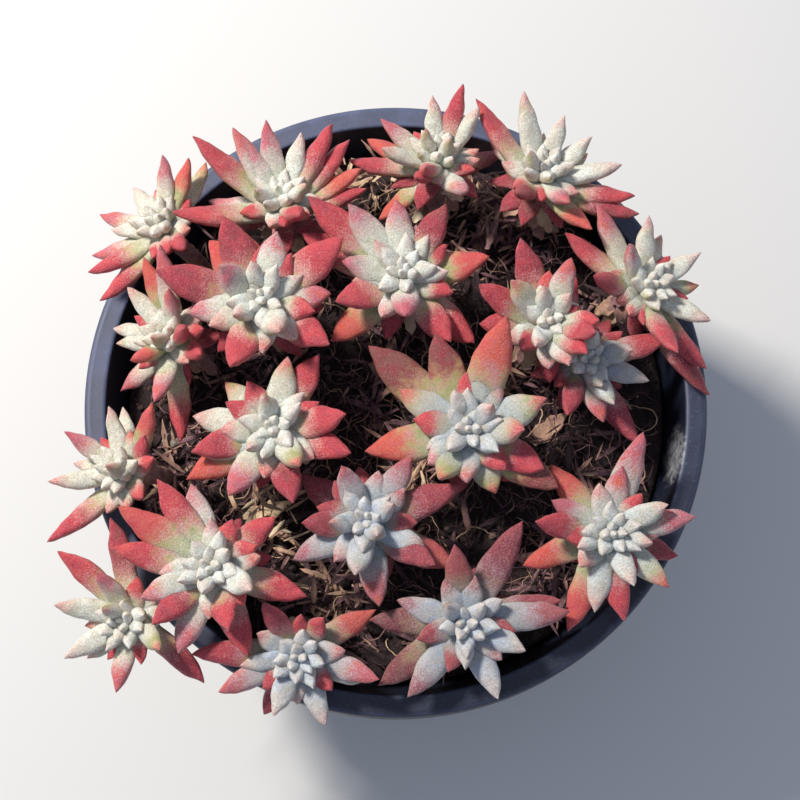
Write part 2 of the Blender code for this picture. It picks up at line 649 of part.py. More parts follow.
def pot(collection, cutters, finish):
    """The moulded pan: a tapered shell with a rolled rim, a foot and a ring of drain holes."""
    inside = RIM_RADIUS - RIM_WIDTH
    under = RIM_TOP - RIM_DROP
    floor_inside = FOOT_RADIUS - WALL
    profile = [
        (inside + 0.5 * MM, RIM_TOP),
        (RIM_RADIUS - 1.4 * MM, RIM_TOP),
        (RIM_RADIUS - 0.4 * MM, RIM_TOP - 0.4 * MM),
        (RIM_RADIUS, RIM_TOP - 1.4 * MM),
        (RIM_RADIUS, under),
        (RIM_RADIUS - RIM_LIP, under),
        (RIM_RADIUS - RIM_LIP, RIM_TOP - 2 * MM),
        (inside + WALL, RIM_TOP - 2 * MM),
        (inside + WALL - 0.4 * MM, under),
        (FOOT_RADIUS + 0.6 * MM, 2 * MM),
        (FOOT_RADIUS - 1 * MM, 0),
        (RING_OUT, 0),
        (RING_OUT - 0.6 * MM, RING_LIFT),
        (RING_IN + 0.6 * MM, RING_LIFT),
        (RING_IN, 0),
        (0, 0),
    ]
    profile += [
        (0, FLOOR_TOP),
        (floor_inside - 2 * MM, FLOOR_TOP),
        (floor_inside, FLOOR_TOP + 2 * MM),
        (inside, RIM_TOP - 0.5 * MM),
        (inside + 0.5 * MM, RIM_TOP),
    ]
    made = turned("pot", profile, collection, finish)
    for hole in range(HOLE_COUNT):
        turn = 2 * math.pi * hole / HOLE_COUNT
        middle = (RING_IN + RING_OUT) / 2
        bpy.ops.mesh.primitive_cylinder_add(
            vertices=HOLE_SIDES, radius=HOLE_RADIUS, depth=CUT,
            location=(middle * math.cos(turn), middle * math.sin(turn), FLOOR_TOP))
        cutter = bpy.context.object
        cutter.name = f"drain_cutter_{hole + 1}"
        move_to(cutter, cutters)
        drill = made.modifiers.new(cutter.name, "BOOLEAN")
        drill.object = cutter
    return made


def move_to(thing, collection):
    """Puts a cutter in its collection, hidden from renders and drawn as wires."""
    for old in list(thing.users_collection):
        old.objects.unlink(thing)
    collection.objects.link(thing)
    thing.hide_render = True
    thing.display_type = "WIRE"


def soil_height(x, y):
    """The relief of the soil's top: low swells with smaller lumps on them."""
    swell = math.sin(x / (11 * MM) + 1.3) * math.cos(y / (13 * MM) - 0.4)
    lumps = math.sin(x / (4.1 * MM) - 0.7) * math.sin(y / (3.7 * MM) + 0.9)
    return SOIL_TOP + SOIL_RELIEF * (0.6 * swell + 0.4 * lumps)


def soil(collection, cutters, finish, feet):
    """The soil that fills the pot, with a plain hole for the foot of each stem."""
    inside = RIM_RADIUS - RIM_WIDTH
    floor_inside = FOOT_RADIUS - WALL

    def wall(height):
        part = (height - FLOOR_TOP - 2 * MM) / (RIM_TOP - 0.5 * MM - FLOOR_TOP - 2 * MM)
        return floor_inside + part * (inside - floor_inside) - TOUCH - 0.1 * MM

    edge = SOIL_TOP - 0.8 * MM
    bottom = FLOOR_TOP + TOUCH
    profile = [(0, SOIL_TOP), (20 * MM, SOIL_TOP), (38 * MM, SOIL_TOP), (54 * MM, SOIL_TOP),
               (wall(edge) - 1.5 * MM, SOIL_TOP),
               (wall(edge), edge), (wall(bottom + 2 * MM), bottom + 2 * MM),
               (floor_inside - 2.6 * MM, bottom), (0, bottom)]
    made = turned("soil", profile, collection, finish)
    for vertex in made.data.vertices:
        if vertex.co.z > SOIL_TOP - 0.1 * MM:
            vertex.co.z = soil_height(vertex.co.x, vertex.co.y)
    for number, foot in enumerate(feet, 1):
        bpy.ops.mesh.primitive_cylinder_add(
            vertices=SOCKET_SIDES, radius=STEM_RADIUS + SOCKET_ROOM, depth=SOCKET_LENGTH,
            location=(foot.x, foot.y, foot.z - TOUCH + SOCKET_LENGTH / 2))
        cutter = bpy.context.object
        cutter.name = f"stem_cutter_{number:02d}"
        move_to(cutter, cutters)
        drill = made.modifiers.new(cutter.name, "BOOLEAN")
        drill.object = cutter
    return made


def rosette_core(name, centre, axis):
    """The short core on the stem's end that carries the leaves."""
    shape = bmesh.new()
    bmesh.ops.create_cone(shape, cap_ends=True, segments=8, radius1=CORE_FOOT,
                          radius2=CORE_RADIUS, depth=CORE_DROP)
    upright = axis.to_track_quat("Z", "Y").to_matrix().to_4x4()
    middle = Matrix.Translation(centre - axis * (CORE_DROP / 2))
    bmesh.ops.transform(shape, matrix=middle @ upright, verts=shape.verts)
    return mesh_from(shape, name)


def rosette_head(name, centre, axis, leaves, plump, collection, loose):
    """The leaves, fused round a small cone that fills the middle of the heart."""
    shape = bmesh.new()
    bmesh.ops.create_cone(shape, cap_ends=True, segments=7, radius1=DOME[0], radius2=DOME[1],
                          depth=HEART + 1 * MM)
    upright = axis.to_track_quat("Z", "Y").to_matrix().to_4x4()
    middle = Matrix.Translation(centre + axis * (HEART / 2 - 0.7 * MM))
    bmesh.ops.transform(shape, matrix=middle @ upright, verts=shape.verts)
    head = add_object(name + "_head", mesh_from(shape, name + "_head"), collection)
    for number, leaf in enumerate(leaves):
        small = (leaf.tip - leaf.root).length < INNER[0]
        stations = SMALL_STATIONS if small else LEAF_STATIONS
        mesh = leaf_mesh(leaf, f"{name}_leaf_{number}", 4, stations, plump)
        add_object(mesh.name, mesh, loose)
    join_all(head, loose)
    return head


def rosette(index, centre, axis, leaves, collection, loose, finish):
    """A rosette: its core with all its leaves fused to it.

    Where leaves happen to touch along an edge, it is made again with slightly plumper ones.
    """
    name = f"rosette_{index + 1:02d}"
    body = add_object(name, rosette_core(name, centre, axis), collection)
    core = body.data.copy()
    for attempt in range(PLUMPER_TRIES):
        plump = 1 + 0.02 * attempt
        head = rosette_head(name, centre, axis, leaves, plump, collection, loose)
        thin_out(head, ROSETTE_TRIANGLES)
        body.data = core.copy()
        seat = body.modifiers.new("Seat", "BOOLEAN")
        seat.operation = "UNION"
        seat.object = head
        seat.solver = "MANIFOLD"
        apply_modifiers(body)
        bpy.data.objects.remove(head, do_unlink=True)
        keep_largest_shell(body.data)
        if is_sound(body.data):
            break
    body.data.materials.clear()
    body.data.materials.append(finish)
    return body


def stem(index, spine, axis, collection, loose, finish):
    """A woody stem with a skirt of shrivelled old leaves hanging round its top."""
    name = f"stem_{index + 1:02d}"
    body = tube(name, spine, STEM_RADIUS, collection, finish)
    dice = random.Random(100 + index)
    side = axis.orthogonal().normalized()
    overhanging = math.hypot(spine[-1].x, spine[-1].y) > OVERHANG
    for number in range(0 if overhanging else SKIRT_LEAVES):
        turn = Matrix.Rotation(number * GOLDEN_ANGLE + dice.uniform(0, 0.5), 3, axis)
        root = spine[-1] - axis * (SKIRT_TOP + number * SKIRT_STEP)
        way = turn @ side
        reach = SKIRT_LENGTH * dice.uniform(0.7, 1.0)
        tip = root + way * (0.6 * reach) - Vector((0, 0, SKIRT_FALL * reach))
        tip.z = max(tip.z, SOIL_TOP + 2.5 * MM)
        leaf = Leaf(index, root, tip, way, SKIRT_HALF_WIDTH, SKIRT_THICKNESS / 2, SKIRT_BOW)
        leaf.axis = (way + Vector((0, 0, 0.4))).normalized()
        mesh = leaf_mesh(leaf, f"{name}_skirt_{number}", 3, SKIRT_STATIONS)
        add_object(mesh.name, mesh, loose)
    if not overhanging:
        join_all(body, loose)
        thin_out(body, STEM_TRIANGLES)
    return body


def lay_down(piece, ground):
    """Lowers a piece until it is TOUCH above the ground, whose tree of faces this is."""
    mesh = piece.data
    points = [vertex.co for vertex in mesh.vertices] + [face.center for face in mesh.polygons]
    points += [(mesh.vertices[a].co + mesh.vertices[b].co) / 2 for a, b in mesh.edge_keys]
    drops = []
    for point in points:
        hit = ground.ray_cast(Vector((point.x, point.y, RIM_TOP)), Vector((0, 0, -1)))[0]
        drops.append(point.z - hit.z)
    mesh.transform(Matrix.Translation((0, 0, TOUCH - min(drops))))


def litter(collection, wood, rock, bed):
    """Shed leaves, a twig and stones that lie on the soil between the stems."""
    graph = bpy.context.evaluated_depsgraph_get()
    ground = BVHTree.FromObject(bed, graph)
    for number, (x, y, turn, length) in enumerate(SHED_LEAVES, 1):
        way = Vector((math.cos(math.radians(turn)), math.sin(math.radians(turn)), 0))
        middle = Vector((x * MM, y * MM, SOIL_TOP))
        half = way * (length * MM / 2)
        leaf = Leaf(-1, middle - half, middle + half + Vector((0, 0, 1 * MM)), Vector((0, 0, 1)),
                    SHED_HALF_WIDTH, SHED_HALF_THICKNESS, SHED_BOW)
        name = f"shed_leaf_{number}"
        lay_down(add_object(name, leaf_mesh(leaf, name, 4, SHED_STATIONS), collection, wood), ground)
    for number, (x, y, radius) in enumerate(STONES, 1):
        shape = bmesh.new()
        bmesh.ops.create_icosphere(shape, subdivisions=1, radius=radius * MM)
        for vertex in shape.verts:
            vertex.co.z *= STONE_HEIGHT
        bmesh.ops.translate(shape, vec=Vector((x * MM, y * MM, SOIL_TOP)), verts=shape.verts)
        stone = add_object(f"stone_{number}", mesh_from(shape, f"stone_{number}"), collection, rock)
        lay_down(stone, ground)
    ends = [Vector((x * MM, y * MM, SOIL_TOP + step * 1 * MM)) for step, (x, y) in enumerate(TWIG)]
    bend = (ends[0] + ends[1]) / 2 + Vector((TWIG_BEND, 0, 0))
    lay_down(tube("twig", [ends[0], bend, ends[1]], TWIG_RADIUS, collection, wood), ground)


def build():
    clear_scene()
    clump = new_collection("potted_dudleya")
    cutters = new_collection("cutters")
    loose = new_collection("loose")
    plastic = material("black_plastic", (0.02, 0.022, 0.03), 0.5)
    earth = material("potting_soil", (0.035, 0.024, 0.018), 0.95)
    flesh = material("powdered_leaf", (0.62, 0.25, 0.22), 0.7)
    wood = material("dry_stem", (0.22, 0.14, 0.09), 0.9)
    rock = material("grit_stone", (0.3, 0.28, 0.26), 0.8)
    plants = [rosette_leaves(index) for index in range(len(ROSETTES))]
    feet = stem_feet([centre for centre, _, _ in plants])
    spines = [stem_spine(plant[0], plant[1], foot) for plant, foot in zip(plants, feet)]
    posts = []
    for index, (centre, axis, _) in enumerate(plants):
        posts.append((index, [centre, centre + axis * HEART], CORE_RADIUS))
        line = [low.lerp(high, step / 3) for low, high in zip(spines[index][1:], spines[index][2:])
                for step in range(3)]
        posts.append((index, line, STEM_RADIUS))
    settle([leaf for _, _, leaves in plants for leaf in leaves], posts)
    for _, _, leaves in plants:
        leaves[:] = [leaf for leaf in leaves if hangs_free(leaf)]
    pot(clump, cutters, plastic)
    bed = soil(clump, cutters, earth, [spine[0] for spine in spines])
    for index, (centre, axis, leaves) in enumerate(plants):
        stem(index, spines[index], axis, clump, loose, wood)
        rosette(index, centre, axis, leaves, clump, loose, flesh)
    litter(clump, wood, rock, bed)
    bpy.data.collections.remove(loose)
    for piece in clump.objects:
        shade_round(piece)


build()
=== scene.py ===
"""A clump of dudleya gnoma in a black plastic bulb pan, dressed for a close look.

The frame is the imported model's: metres, +Z up, the origin at the centre of the pot's flat foot, and
-Y the side that the clump is looked at from. Each section makes one piece or group of like pieces,
in the order in which a grower puts them together.
"""

import math
import random

import bpy
import numpy as np
from mathutils import Matrix, Vector, noise


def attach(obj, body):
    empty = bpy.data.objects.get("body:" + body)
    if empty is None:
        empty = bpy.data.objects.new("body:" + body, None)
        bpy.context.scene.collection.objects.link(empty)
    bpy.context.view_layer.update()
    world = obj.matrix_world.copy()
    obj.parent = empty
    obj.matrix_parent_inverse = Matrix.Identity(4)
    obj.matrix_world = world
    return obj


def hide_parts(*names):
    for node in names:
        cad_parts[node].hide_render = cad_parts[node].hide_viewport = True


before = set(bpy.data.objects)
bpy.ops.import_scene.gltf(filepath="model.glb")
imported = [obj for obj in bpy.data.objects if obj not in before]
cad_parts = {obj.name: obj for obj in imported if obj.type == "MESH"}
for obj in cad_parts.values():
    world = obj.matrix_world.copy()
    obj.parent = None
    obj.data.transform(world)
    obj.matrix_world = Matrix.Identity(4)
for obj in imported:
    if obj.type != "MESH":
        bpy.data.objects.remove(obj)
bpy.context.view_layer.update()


# The pot: a six inch bulb pan, injection moulded in black polypropylene. Its rim is rolled over and
# hangs down outside as a skirt, and four holes in the raised ring under the floor let it drain.
# Its top is scuffed and dusty under a painted bluish sheen, and painted lighter at the back left where
# the lamp falls. Hard water has dried to a streak inside its wall on the right.

MM = 0.001
FULL_TURN = 2 * math.pi
RIM_RADIUS = 75 * MM
RIM_TOP = 85 * MM
RIM_WIDTH = 5.4 * MM
RIM_DROP = 12 * MM
RIM_LIP = 1.3 * MM
RIM_ROUND = 1.5 * MM
LIP_ROUND = 0.5 * MM
WALL = 1.8 * MM
WALL_DRAFT = 0.4 * MM                 # how much the wall has tapered where the skirt ends
FOOT_RADIUS = 54 * MM
FOOT_ROUND = 1 * MM
FLOOR_TOP = 4.5 * MM
FLOOR_ROUND = 2 * MM
RING_LIFT = 2.5 * MM
RING_IN = 40 * MM
RING_OUT = 50 * MM
RING_DRAFT = 0.6 * MM
MIDDLE = 8 * MM                       # inside this radius the floor is one flat face
HOLE_COUNT = 4
HOLE_RADIUS = 4 * MM
HOLE_SIDES = 32
HOLE_DRILL = 12 * MM                  # long enough to come out clear of the floor on both sides
POT_TURNS = 160
OUT_OF_ROUND = 0.001
INSIDE = RIM_RADIUS - RIM_WIDTH
WATER_MARK = (66.5 * MM, -12 * MM, 80 * MM)


def linear(colour):
    """An sRGB hex colour as linear red, green, blue and alpha."""
    parts = [int(colour[place:place + 2], 16) / 255 for place in (1, 3, 5)]
    return [c / 12.92 if c <= 0.04045 else ((c + 0.055) / 1.055) ** 2.4 for c in parts] + [1.0]


def set_inputs(tree, node, inputs):
    """Sets these inputs of a node, each to a value or by a link."""
    for place, value in inputs.items():
        if isinstance(value, bpy.types.NodeSocket):
            tree.links.new(value, node.inputs[place])
        else:
            node.inputs[place].default_value = value


def add_node(tree, kind, inputs=None, stops=(), **settings):
    """Adds a node with its settings, its inputs and the stops of a colour ramp; gives its outputs.

    A Map Range takes its value at 0, then from, from, to and to. A colour Mix takes its share at 0
    and its two colours at 6 and 7, and gives the mixed colour at 2.
    """
    made = tree.nodes.new("ShaderNode" + kind)
    for name, value in settings.items():
        setattr(made, name, value)
    set_inputs(tree, made, inputs or {})
    band = made.color_ramp.elements if stops else ()
    while len(band) < len(stops):
        band.new(1.0)
    for stop, (place, colour) in zip(band, stops):
        stop.position = place
        stop.color = linear(colour)
    return made.outputs


def new_finish(name):
    """A material with a bare Principled shader: the material, its node tree and the shader."""
    made = bpy.data.materials.new(name)
    made.use_nodes = True
    return made, made.node_tree, made.node_tree.nodes["Principled BSDF"]


def skin(rings, start, end):
    """A closed skin over rings of points, from one end point to the other: its points and faces."""
    count, sides = rings.shape[:2]
    points = np.concatenate((rings.reshape(-1, 3), [start, end]))
    here = np.arange(count * sides).reshape(count, sides)
    beside = np.roll(here, -1, axis=1)
    quads = np.stack((here[:-1], here[1:], beside[1:], beside[:-1]), axis=-1).reshape(-1, 4)
    a, b, c, d = (points[quads[:, corner]] for corner in range(4))
    volume = (np.einsum("ij,ij->i", a, np.cross(b, c)) + np.einsum("ij,ij->i", a, np.cross(c, d))).sum()
    caps = [(here[0, k], beside[0, k], count * sides) for k in range(sides)]
    caps += [(beside[-1, k], here[-1, k], count * sides + 1) for k in range(sides)]
    faces = quads.tolist() + [[int(corner) for corner in cap] for cap in caps]
    return points, faces if volume > 0 else [face[::-1] for face in faces]


class Heap:
    """The parts of one piece, gathered before its mesh is made, with a value or two at each point."""

    def __init__(self):
        self.points = []
        self.faces = []
        self.values = {}
        self.count = 0

    def add(self, points, faces, **values):
        self.points.append(points)
        self.faces += [[corner + self.count for corner in face] for face in faces]
        self.count += len(points)
        for name, value in values.items():
            value = np.asarray(value, float)
            if value.shape[:1] != (len(points),):
                value = np.tile(value, (len(points), 1)) if value.ndim else np.full(len(points), value)
            self.values.setdefault(name, []).append(value)


def as_piece(name, heap, finish, slot, *nodes, smooth=True):
    """Makes the heap's mesh, dresses it, and lets it stand for these solids of the frame."""
    mesh = bpy.data.meshes.new(name)
    mesh.from_pydata(np.concatenate(heap.points).tolist(), [], heap.faces)
    mesh.materials.append(finish)
    for key, parts in heap.values.items():
        value = np.concatenate(parts)
        kind, field = ("FLOAT_VECTOR", "vector") if value.ndim == 2 else ("FLOAT", "value")
        mesh.attributes.new(key, kind, "POINT").data.foreach_set(field, value.ravel())
    mesh.polygons.foreach_set("use_smooth", [smooth] * len(mesh.polygons))
    made = bpy.data.objects.new(name, mesh)
    bpy.context.scene.collection.objects.link(made)
    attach(made, "root")
    if nodes:
        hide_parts(*nodes)
    return made


def turned(profile, turns):
    """The rings of a profile of (radius, height) turned about the pot's axis."""
    angle = np.arange(turns) * FULL_TURN / turns
    radius, height = np.array(profile).T
    rings = np.zeros((len(profile), turns, 3))
    rings[..., 0] = radius[:, None] * np.cos(angle)
    rings[..., 1] = radius[:, None] * np.sin(angle)
    rings[..., 2] = height[:, None]
    return rings


def rounded(corner, before, after, steps=5):
    """Points that round this corner of a profile, from the point before to the point after it."""
    corner, before, after = (np.array(point) for point in (corner, before, after))
    share = np.linspace(0, 1, steps)[:, None]
    curve = before * (1 - share) ** 2 + corner * (2 * share * (1 - share)) + after * share ** 2
    return [tuple(point) for point in curve]


def between(start, end, count):
    """The points of a straight run of this many, without its two ends."""
    share = np.linspace(0, 1, count)[1:-1]
    return [(start[0] + (end[0] - start[0]) * u, start[1] + (end[1] - start[1]) * u) for u in share]


def pot_profile():
    """The pan's section, from the middle of its floor up, over the rim and down to the foot."""
    under = RIM_TOP - RIM_DROP
    skirt = RIM_RADIUS - RIM_LIP
    below = RIM_TOP - 2 * MM
    floor_inside = FOOT_RADIUS - WALL
    outside = rounded((RIM_RADIUS, RIM_TOP), (RIM_RADIUS - RIM_ROUND, RIM_TOP),
                      (RIM_RADIUS, RIM_TOP - RIM_ROUND), 9)
    outside += [(RIM_RADIUS, RIM_TOP - RIM_DROP / 2)]
    outside += rounded((RIM_RADIUS, under), (RIM_RADIUS, under + LIP_ROUND),
                       (RIM_RADIUS - LIP_ROUND, under))
    high, low = (INSIDE + WALL - WALL_DRAFT, under), (FOOT_RADIUS + 0.6 * MM, 2 * MM)
    outside += [(skirt, under), (skirt, below), (INSIDE + WALL, below), high]
    outside += between(high, low, 12)
    outside += rounded((FOOT_RADIUS, 0), low, (FOOT_RADIUS - FOOT_ROUND, 0))
    foot = [(RING_OUT, 0), (RING_OUT - RING_DRAFT, RING_LIFT), (RING_IN + RING_DRAFT, RING_LIFT),
            (RING_IN, 0), (MIDDLE, 0)]
    low, high = (floor_inside, FLOOR_TOP + FLOOR_ROUND), (INSIDE, RIM_TOP - 1 * MM)
    bowl = [(MIDDLE, FLOOR_TOP)]
    bowl += rounded((floor_inside, FLOOR_TOP), (floor_inside - FLOOR_ROUND, FLOOR_TOP), low)
    bowl += between(low, high, 10)
    bowl += rounded((INSIDE, RIM_TOP), high, (INSIDE + 1.1 * MM, RIM_TOP), 6)
    # The rolled rim is a little hollow on top.
    bowl += [(INSIDE + 2.6 * MM, RIM_TOP - 0.12 * MM), (INSIDE + 3.8 * MM, RIM_TOP)]
    return bowl + outside + foot


def moulded_plastic():
    """Black polypropylene: IOR 1.49, satin from the mould, greyed on top by scuffs and fine dust and by
    a painted bluish sheen; painted light makes its back left paler.
    """
    made, tree, shader = new_finish("black_polypropylene")
    where = add_node(tree, "TexCoord")["Object"]
    cloud = add_node(tree, "TexNoise", {
        "Vector": where, "Scale": 1 / (9 * MM), "Detail": 6.0, "Roughness": 0.65})[0]
    # Scratches and dust are finer than 0.1 mm, and are drawn here as coarser flecks, so that they show.
    grain = add_node(tree, "TexNoise", {"Vector": where, "Scale": 1 / (0.7 * MM), "Detail": 3.0})[0]
    facing = add_node(tree, "NewGeometry")["Normal"]
    up = add_node(tree, "SeparateXYZ", {0: facing})[2]
    level = add_node(tree, "MapRange", {0: up, 1: 0.2, 2: 0.95, 3: 0.05, 4: 0.62})[0]
    dust = add_node(tree, "MapRange", {0: cloud, 1: 0.32, 2: 0.66, 3: 0.45, 4: 1.0})[0]
    dust_and_painted_light = add_node(tree, "Math", {0: level, 1: dust}, operation="MULTIPLY")[0]
    # Painted light: the back and the left, toward the lamp, are painted paler over the dust. The rim's
    # two edges are paler too.
    painted_light_back_left = add_node(tree, "VectorMath", {
        0: where, 1: (-0.4, 0.9, 0)}, operation="DOT_PRODUCT")["Value"]
    painted_light_back_left = add_node(tree, "MapRange", {0: painted_light_back_left, 1: -RIM_RADIUS, 2: RIM_RADIUS, 3: 0.2, 4: 1.6})[0]
    dust_and_painted_light = add_node(tree, "Math", {0: dust_and_painted_light, 1: painted_light_back_left}, operation="MULTIPLY")[0]
    flat = add_node(tree, "VectorMath", {0: where, 1: (1, 1, 0)}, operation="MULTIPLY")[0]
    radius = add_node(tree, "VectorMath", {0: flat}, operation="LENGTH")["Value"]
    off = add_node(tree, "Math", {0: radius, 1: RIM_RADIUS - RIM_WIDTH / 2}, operation="SUBTRACT")[0]
    off = add_node(tree, "Math", {0: off}, operation="ABSOLUTE")[0]
    edge = add_node(tree, "MapRange", {
        0: off, 1: RIM_WIDTH / 2 - 1.4 * MM, 2: RIM_WIDTH / 2 - 0.5 * MM, 3: 0.0, 4: 0.4},
        interpolation_type="SMOOTHSTEP")[0]
    edge = add_node(tree, "Math", {0: edge, 1: level}, operation="MULTIPLY")[0]
    dust_and_painted_light = add_node(tree, "Math", {0: dust_and_painted_light, 1: edge}, operation="ADD")[0]
    flecks = add_node(tree, "MapRange", {0: grain, 1: 0.62, 2: 0.7, 3: 0.0, 4: 0.35})[0]
    dust_and_painted_light = add_node(tree, "Math", {0: dust_and_painted_light, 1: flecks}, operation="ADD", use_clamp=True)[0]
    # The pale bluish grey is dust, with painted sheen on the top faces and painted light at the back
    # left.
    plastic = add_node(tree, "Mix", {
        0: dust_and_painted_light, 6: linear("#151A28"), 7: linear("#565F7C")}, data_type="RGBA")[2]
    # Hard water dried as a streak along the inside of the wall.
    far = add_node(tree, "VectorMath", {0: where, 1: WATER_MARK}, operation="SUBTRACT")[0]
    far = add_node(tree, "VectorMath", {0: far, 1: (1, 0.6, 0.6)}, operation="MULTIPLY")[0]
    far = add_node(tree, "VectorMath", {0: far}, operation="LENGTH")["Value"]
    close = add_node(tree, "MapRange", {
        0: far, 1: 2 * MM, 2: 9 * MM, 3: 0.6, 4: 0.0}, interpolation_type="SMOOTHSTEP")[0]
    crust = add_node(tree, "TexNoise", {
        "Vector": where, "Scale": 1 / (1.8 * MM), "Detail": 8.0, "Roughness": 0.75})[0]
    broken = add_node(tree, "Math", {0: crust, 1: close}, operation="ADD")[0]
    mark = add_node(tree, "MapRange", {0: broken, 1: 0.9, 2: 1.2, 3: 0.0, 4: 0.9})[0]
    outward = add_node(tree, "VectorMath", {0: flat, 1: facing}, operation="DOT_PRODUCT")["Value"]
    inside = add_node(tree, "MapRange", {
        0: outward, 1: -0.4 * INSIDE, 2: -0.1 * INSIDE, 3: 1.0, 4: 0.0})[0]
    mark = add_node(tree, "Math", {0: mark, 1: inside}, operation="MULTIPLY")[0]
    colour = add_node(tree, "Mix", {0: mark, 6: plastic, 7: linear("#A3A6AA")}, data_type="RGBA")[2]
    rough = add_node(tree, "MapRange", {0: dust_and_painted_light, 1: 0.0, 2: 0.8, 3: 0.36, 4: 0.62})[0]
    bump = add_node(tree, "Bump", {"Strength": 0.25, "Distance": 0.05 * MM, "Height": grain})[0]
    set_inputs(tree, shader, {"Base Color": colour, "Roughness": rough, "Normal": bump, "IOR": 1.49})
    return made


def drilled(piece):
    """Cuts the drain holes through the raised ring under the pot's floor."""
    for hole in range(HOLE_COUNT):
        turn = FULL_TURN * hole / HOLE_COUNT
        middle = (RING_IN + RING_OUT) / 2
        bpy.ops.mesh.primitive_cylinder_add(
            vertices=HOLE_SIDES, radius=HOLE_RADIUS, depth=HOLE_DRILL,
            location=(middle * math.cos(turn), middle * math.sin(turn), FLOOR_TOP))
        drill = bpy.context.object
        cut = piece.modifiers.new("Drain", "BOOLEAN")
        cut.object = drill
        graph = bpy.context.evaluated_depsgraph_get()
        mesh = bpy.data.meshes.new_from_object(piece.evaluated_get(graph))
        piece.modifiers.clear()
        piece.data = mesh
        bpy.data.objects.remove(drill, do_unlink=True)


shell = turned(pot_profile(), POT_TURNS)
turn = np.arange(POT_TURNS) * FULL_TURN / POT_TURNS
shell[..., :2] *= (1 - OUT_OF_ROUND * (1 + np.sin(2 * turn + 0.6)))[None, :, None]
heap = Heap()
heap.add(*skin(shell, (0, 0, FLOOR_TOP), (0, 0, 0)))
drilled(as_piece("bulb_pan", heap, moulded_plastic(), "black_plastic", "pot"))


# The soil: a dark, gritty potting mix of peat and bark, watered down into low swells. Crumbs of it,
# with grains of sand and pumice, lie loose on top. It fills the pot and holds the stems.

TOUCH = 0.3 * MM                      # left between pieces that touch
SOIL_TOP = 72 * MM
SOIL_RELIEF = 1.1 * MM
SOIL_TURNS = 200
SOIL_RINGS = 76
SOIL_SLACK = 0.25 * MM                # keeps the soil's flat facets out of the pot's
SOIL_SHRINK = 0.8 * MM                # how far its edge has sunk at the wall
CRUMBS = 5200
CRUMB_TONES = (-0.1, -0.05, 0.0, 0.0, 0.06, 0.12, 0.2)
SAND_SHARE = 0.06                     # this share of the crumbs is sand, and paler
SAND_TONE = 0.16                      # by this tone
ANY_TURN = 6.28                       # random headings are drawn up to this, nearly a full turn


def soil_height(x, y):
    """The relief of the soil's top: low swells with smaller lumps on them, and a fine crumb."""
    swell = math.sin(x / (11 * MM) + 1.3) * math.cos(y / (13 * MM) - 0.4)
    lumps = math.sin(x / (4.1 * MM) - 0.7) * math.sin(y / (3.7 * MM) + 0.9)
    crumb = noise.fractal(Vector((x, y, 0)) / (2.2 * MM), 0.8, 2.1, 4)
    return SOIL_TOP + SOIL_RELIEF * (0.6 * swell + 0.4 * lumps + 0.55 * crumb)


def potting_mix():
    """Peat and bark, damp below and dry on top: dull, rough, nearly black between brown grains."""
    made, tree, shader = new_finish("peat_potting_mix")
    where = add_node(tree, "TexCoord")["Object"]
    clods = add_node(tree, "TexNoise", {
        "Vector": where, "Scale": 1 / (4 * MM), "Detail": 5.0, "Roughness": 0.7})[0]
    grit = add_node(tree, "TexNoise", {
        "Vector": where, "Scale": 1 / (0.6 * MM), "Detail": 3.0, "Roughness": 0.6})[0]
    tone = add_node(tree, "Attribute", attribute_name="grain_tone")["Fac"]
    shade = add_node(tree, "Math", {0: clods, 1: 0.55, 2: tone}, operation="MULTIPLY_ADD")[0]
    shade = add_node(tree, "Math", {0: grit, 1: 0.4, 2: shade}, operation="MULTIPLY_ADD")[0]
    colour = add_node(tree, "ValToRGB", {0: shade}, stops=(
        (0.3, "#161011"), (0.47, "#2A1E20"), (0.62, "#4E3A3A"), (0.78, "#7C6459"),
        (0.93, "#B5A48F")))[0]
    bump = add_node(tree, "Bump", {"Strength": 0.7, "Distance": 0.3 * MM, "Height": grit})[0]
    set_inputs(tree, shader, {"Base Color": colour, "Roughness": 0.93, "Normal": bump})
    return made


def soil_wall(height):
    """The radius of the soil's side at a height, which follows the pot's inside."""
    low = FLOOR_TOP + 2 * MM
    part = (height - low) / (RIM_TOP - 0.5 * MM - low)
    floor_inside = FOOT_RADIUS - WALL
    return floor_inside + part * (INSIDE - floor_inside) - TOUCH - SOIL_SLACK


def soil_rings():
    """The rings of the soil's skin: across its uneven top, down the wall and in under it."""
    edge = SOIL_TOP - SOIL_SHRINK
    bottom = FLOOR_TOP + TOUCH
    across = np.linspace(0.8 * MM, soil_wall(edge) - 0.5 * MM, SOIL_RINGS)
    profile = [(radius, SOIL_TOP) for radius in across]
    profile += [(soil_wall(edge), edge), (soil_wall(SOIL_TOP / 2), SOIL_TOP / 2)]
    profile += [(soil_wall(bottom + 2 * MM), bottom + 2 * MM), (soil_wall(bottom) - 2 * MM, bottom)]
    rings = turned(profile, SOIL_TURNS)
    for ring in rings[:len(across)]:
        for point in ring:
            point[2] = soil_height(point[0], point[1])
    return rings


def grain(dice, place, size, flat):
    """A loose grain: a small lump of twelve corners, broken unevenly."""
    turn = dice.uniform(0, ANY_TURN)
    rings = np.zeros((2, 5, 3))
    for row, level in enumerate((-0.45, 0.45)):
        for side in range(5):
            angle = turn + (side + row / 2) * FULL_TURN / 5
            reach = 0.9 * size * dice.uniform(0.65, 1.15)
            rings[row, side] = reach * math.cos(angle), reach * math.sin(angle), level * size * flat
    tilt = np.array(Matrix.Rotation(dice.uniform(-0.5, 0.5), 3, "X"))
    ends = np.array(((0, 0, -size * flat), (0, 0, size * flat)))
    place = np.array(place)
    return skin(rings @ tilt + place, ends[0] @ tilt + place, ends[1] @ tilt + place)


earth = potting_mix()
heap = Heap()
heap.add(*skin(soil_rings(), (0, 0, soil_height(0, 0)), (0, 0, FLOOR_TOP + TOUCH)), grain_tone=0.0)
as_piece("potting_soil", heap, earth, "potting_soil", "soil")

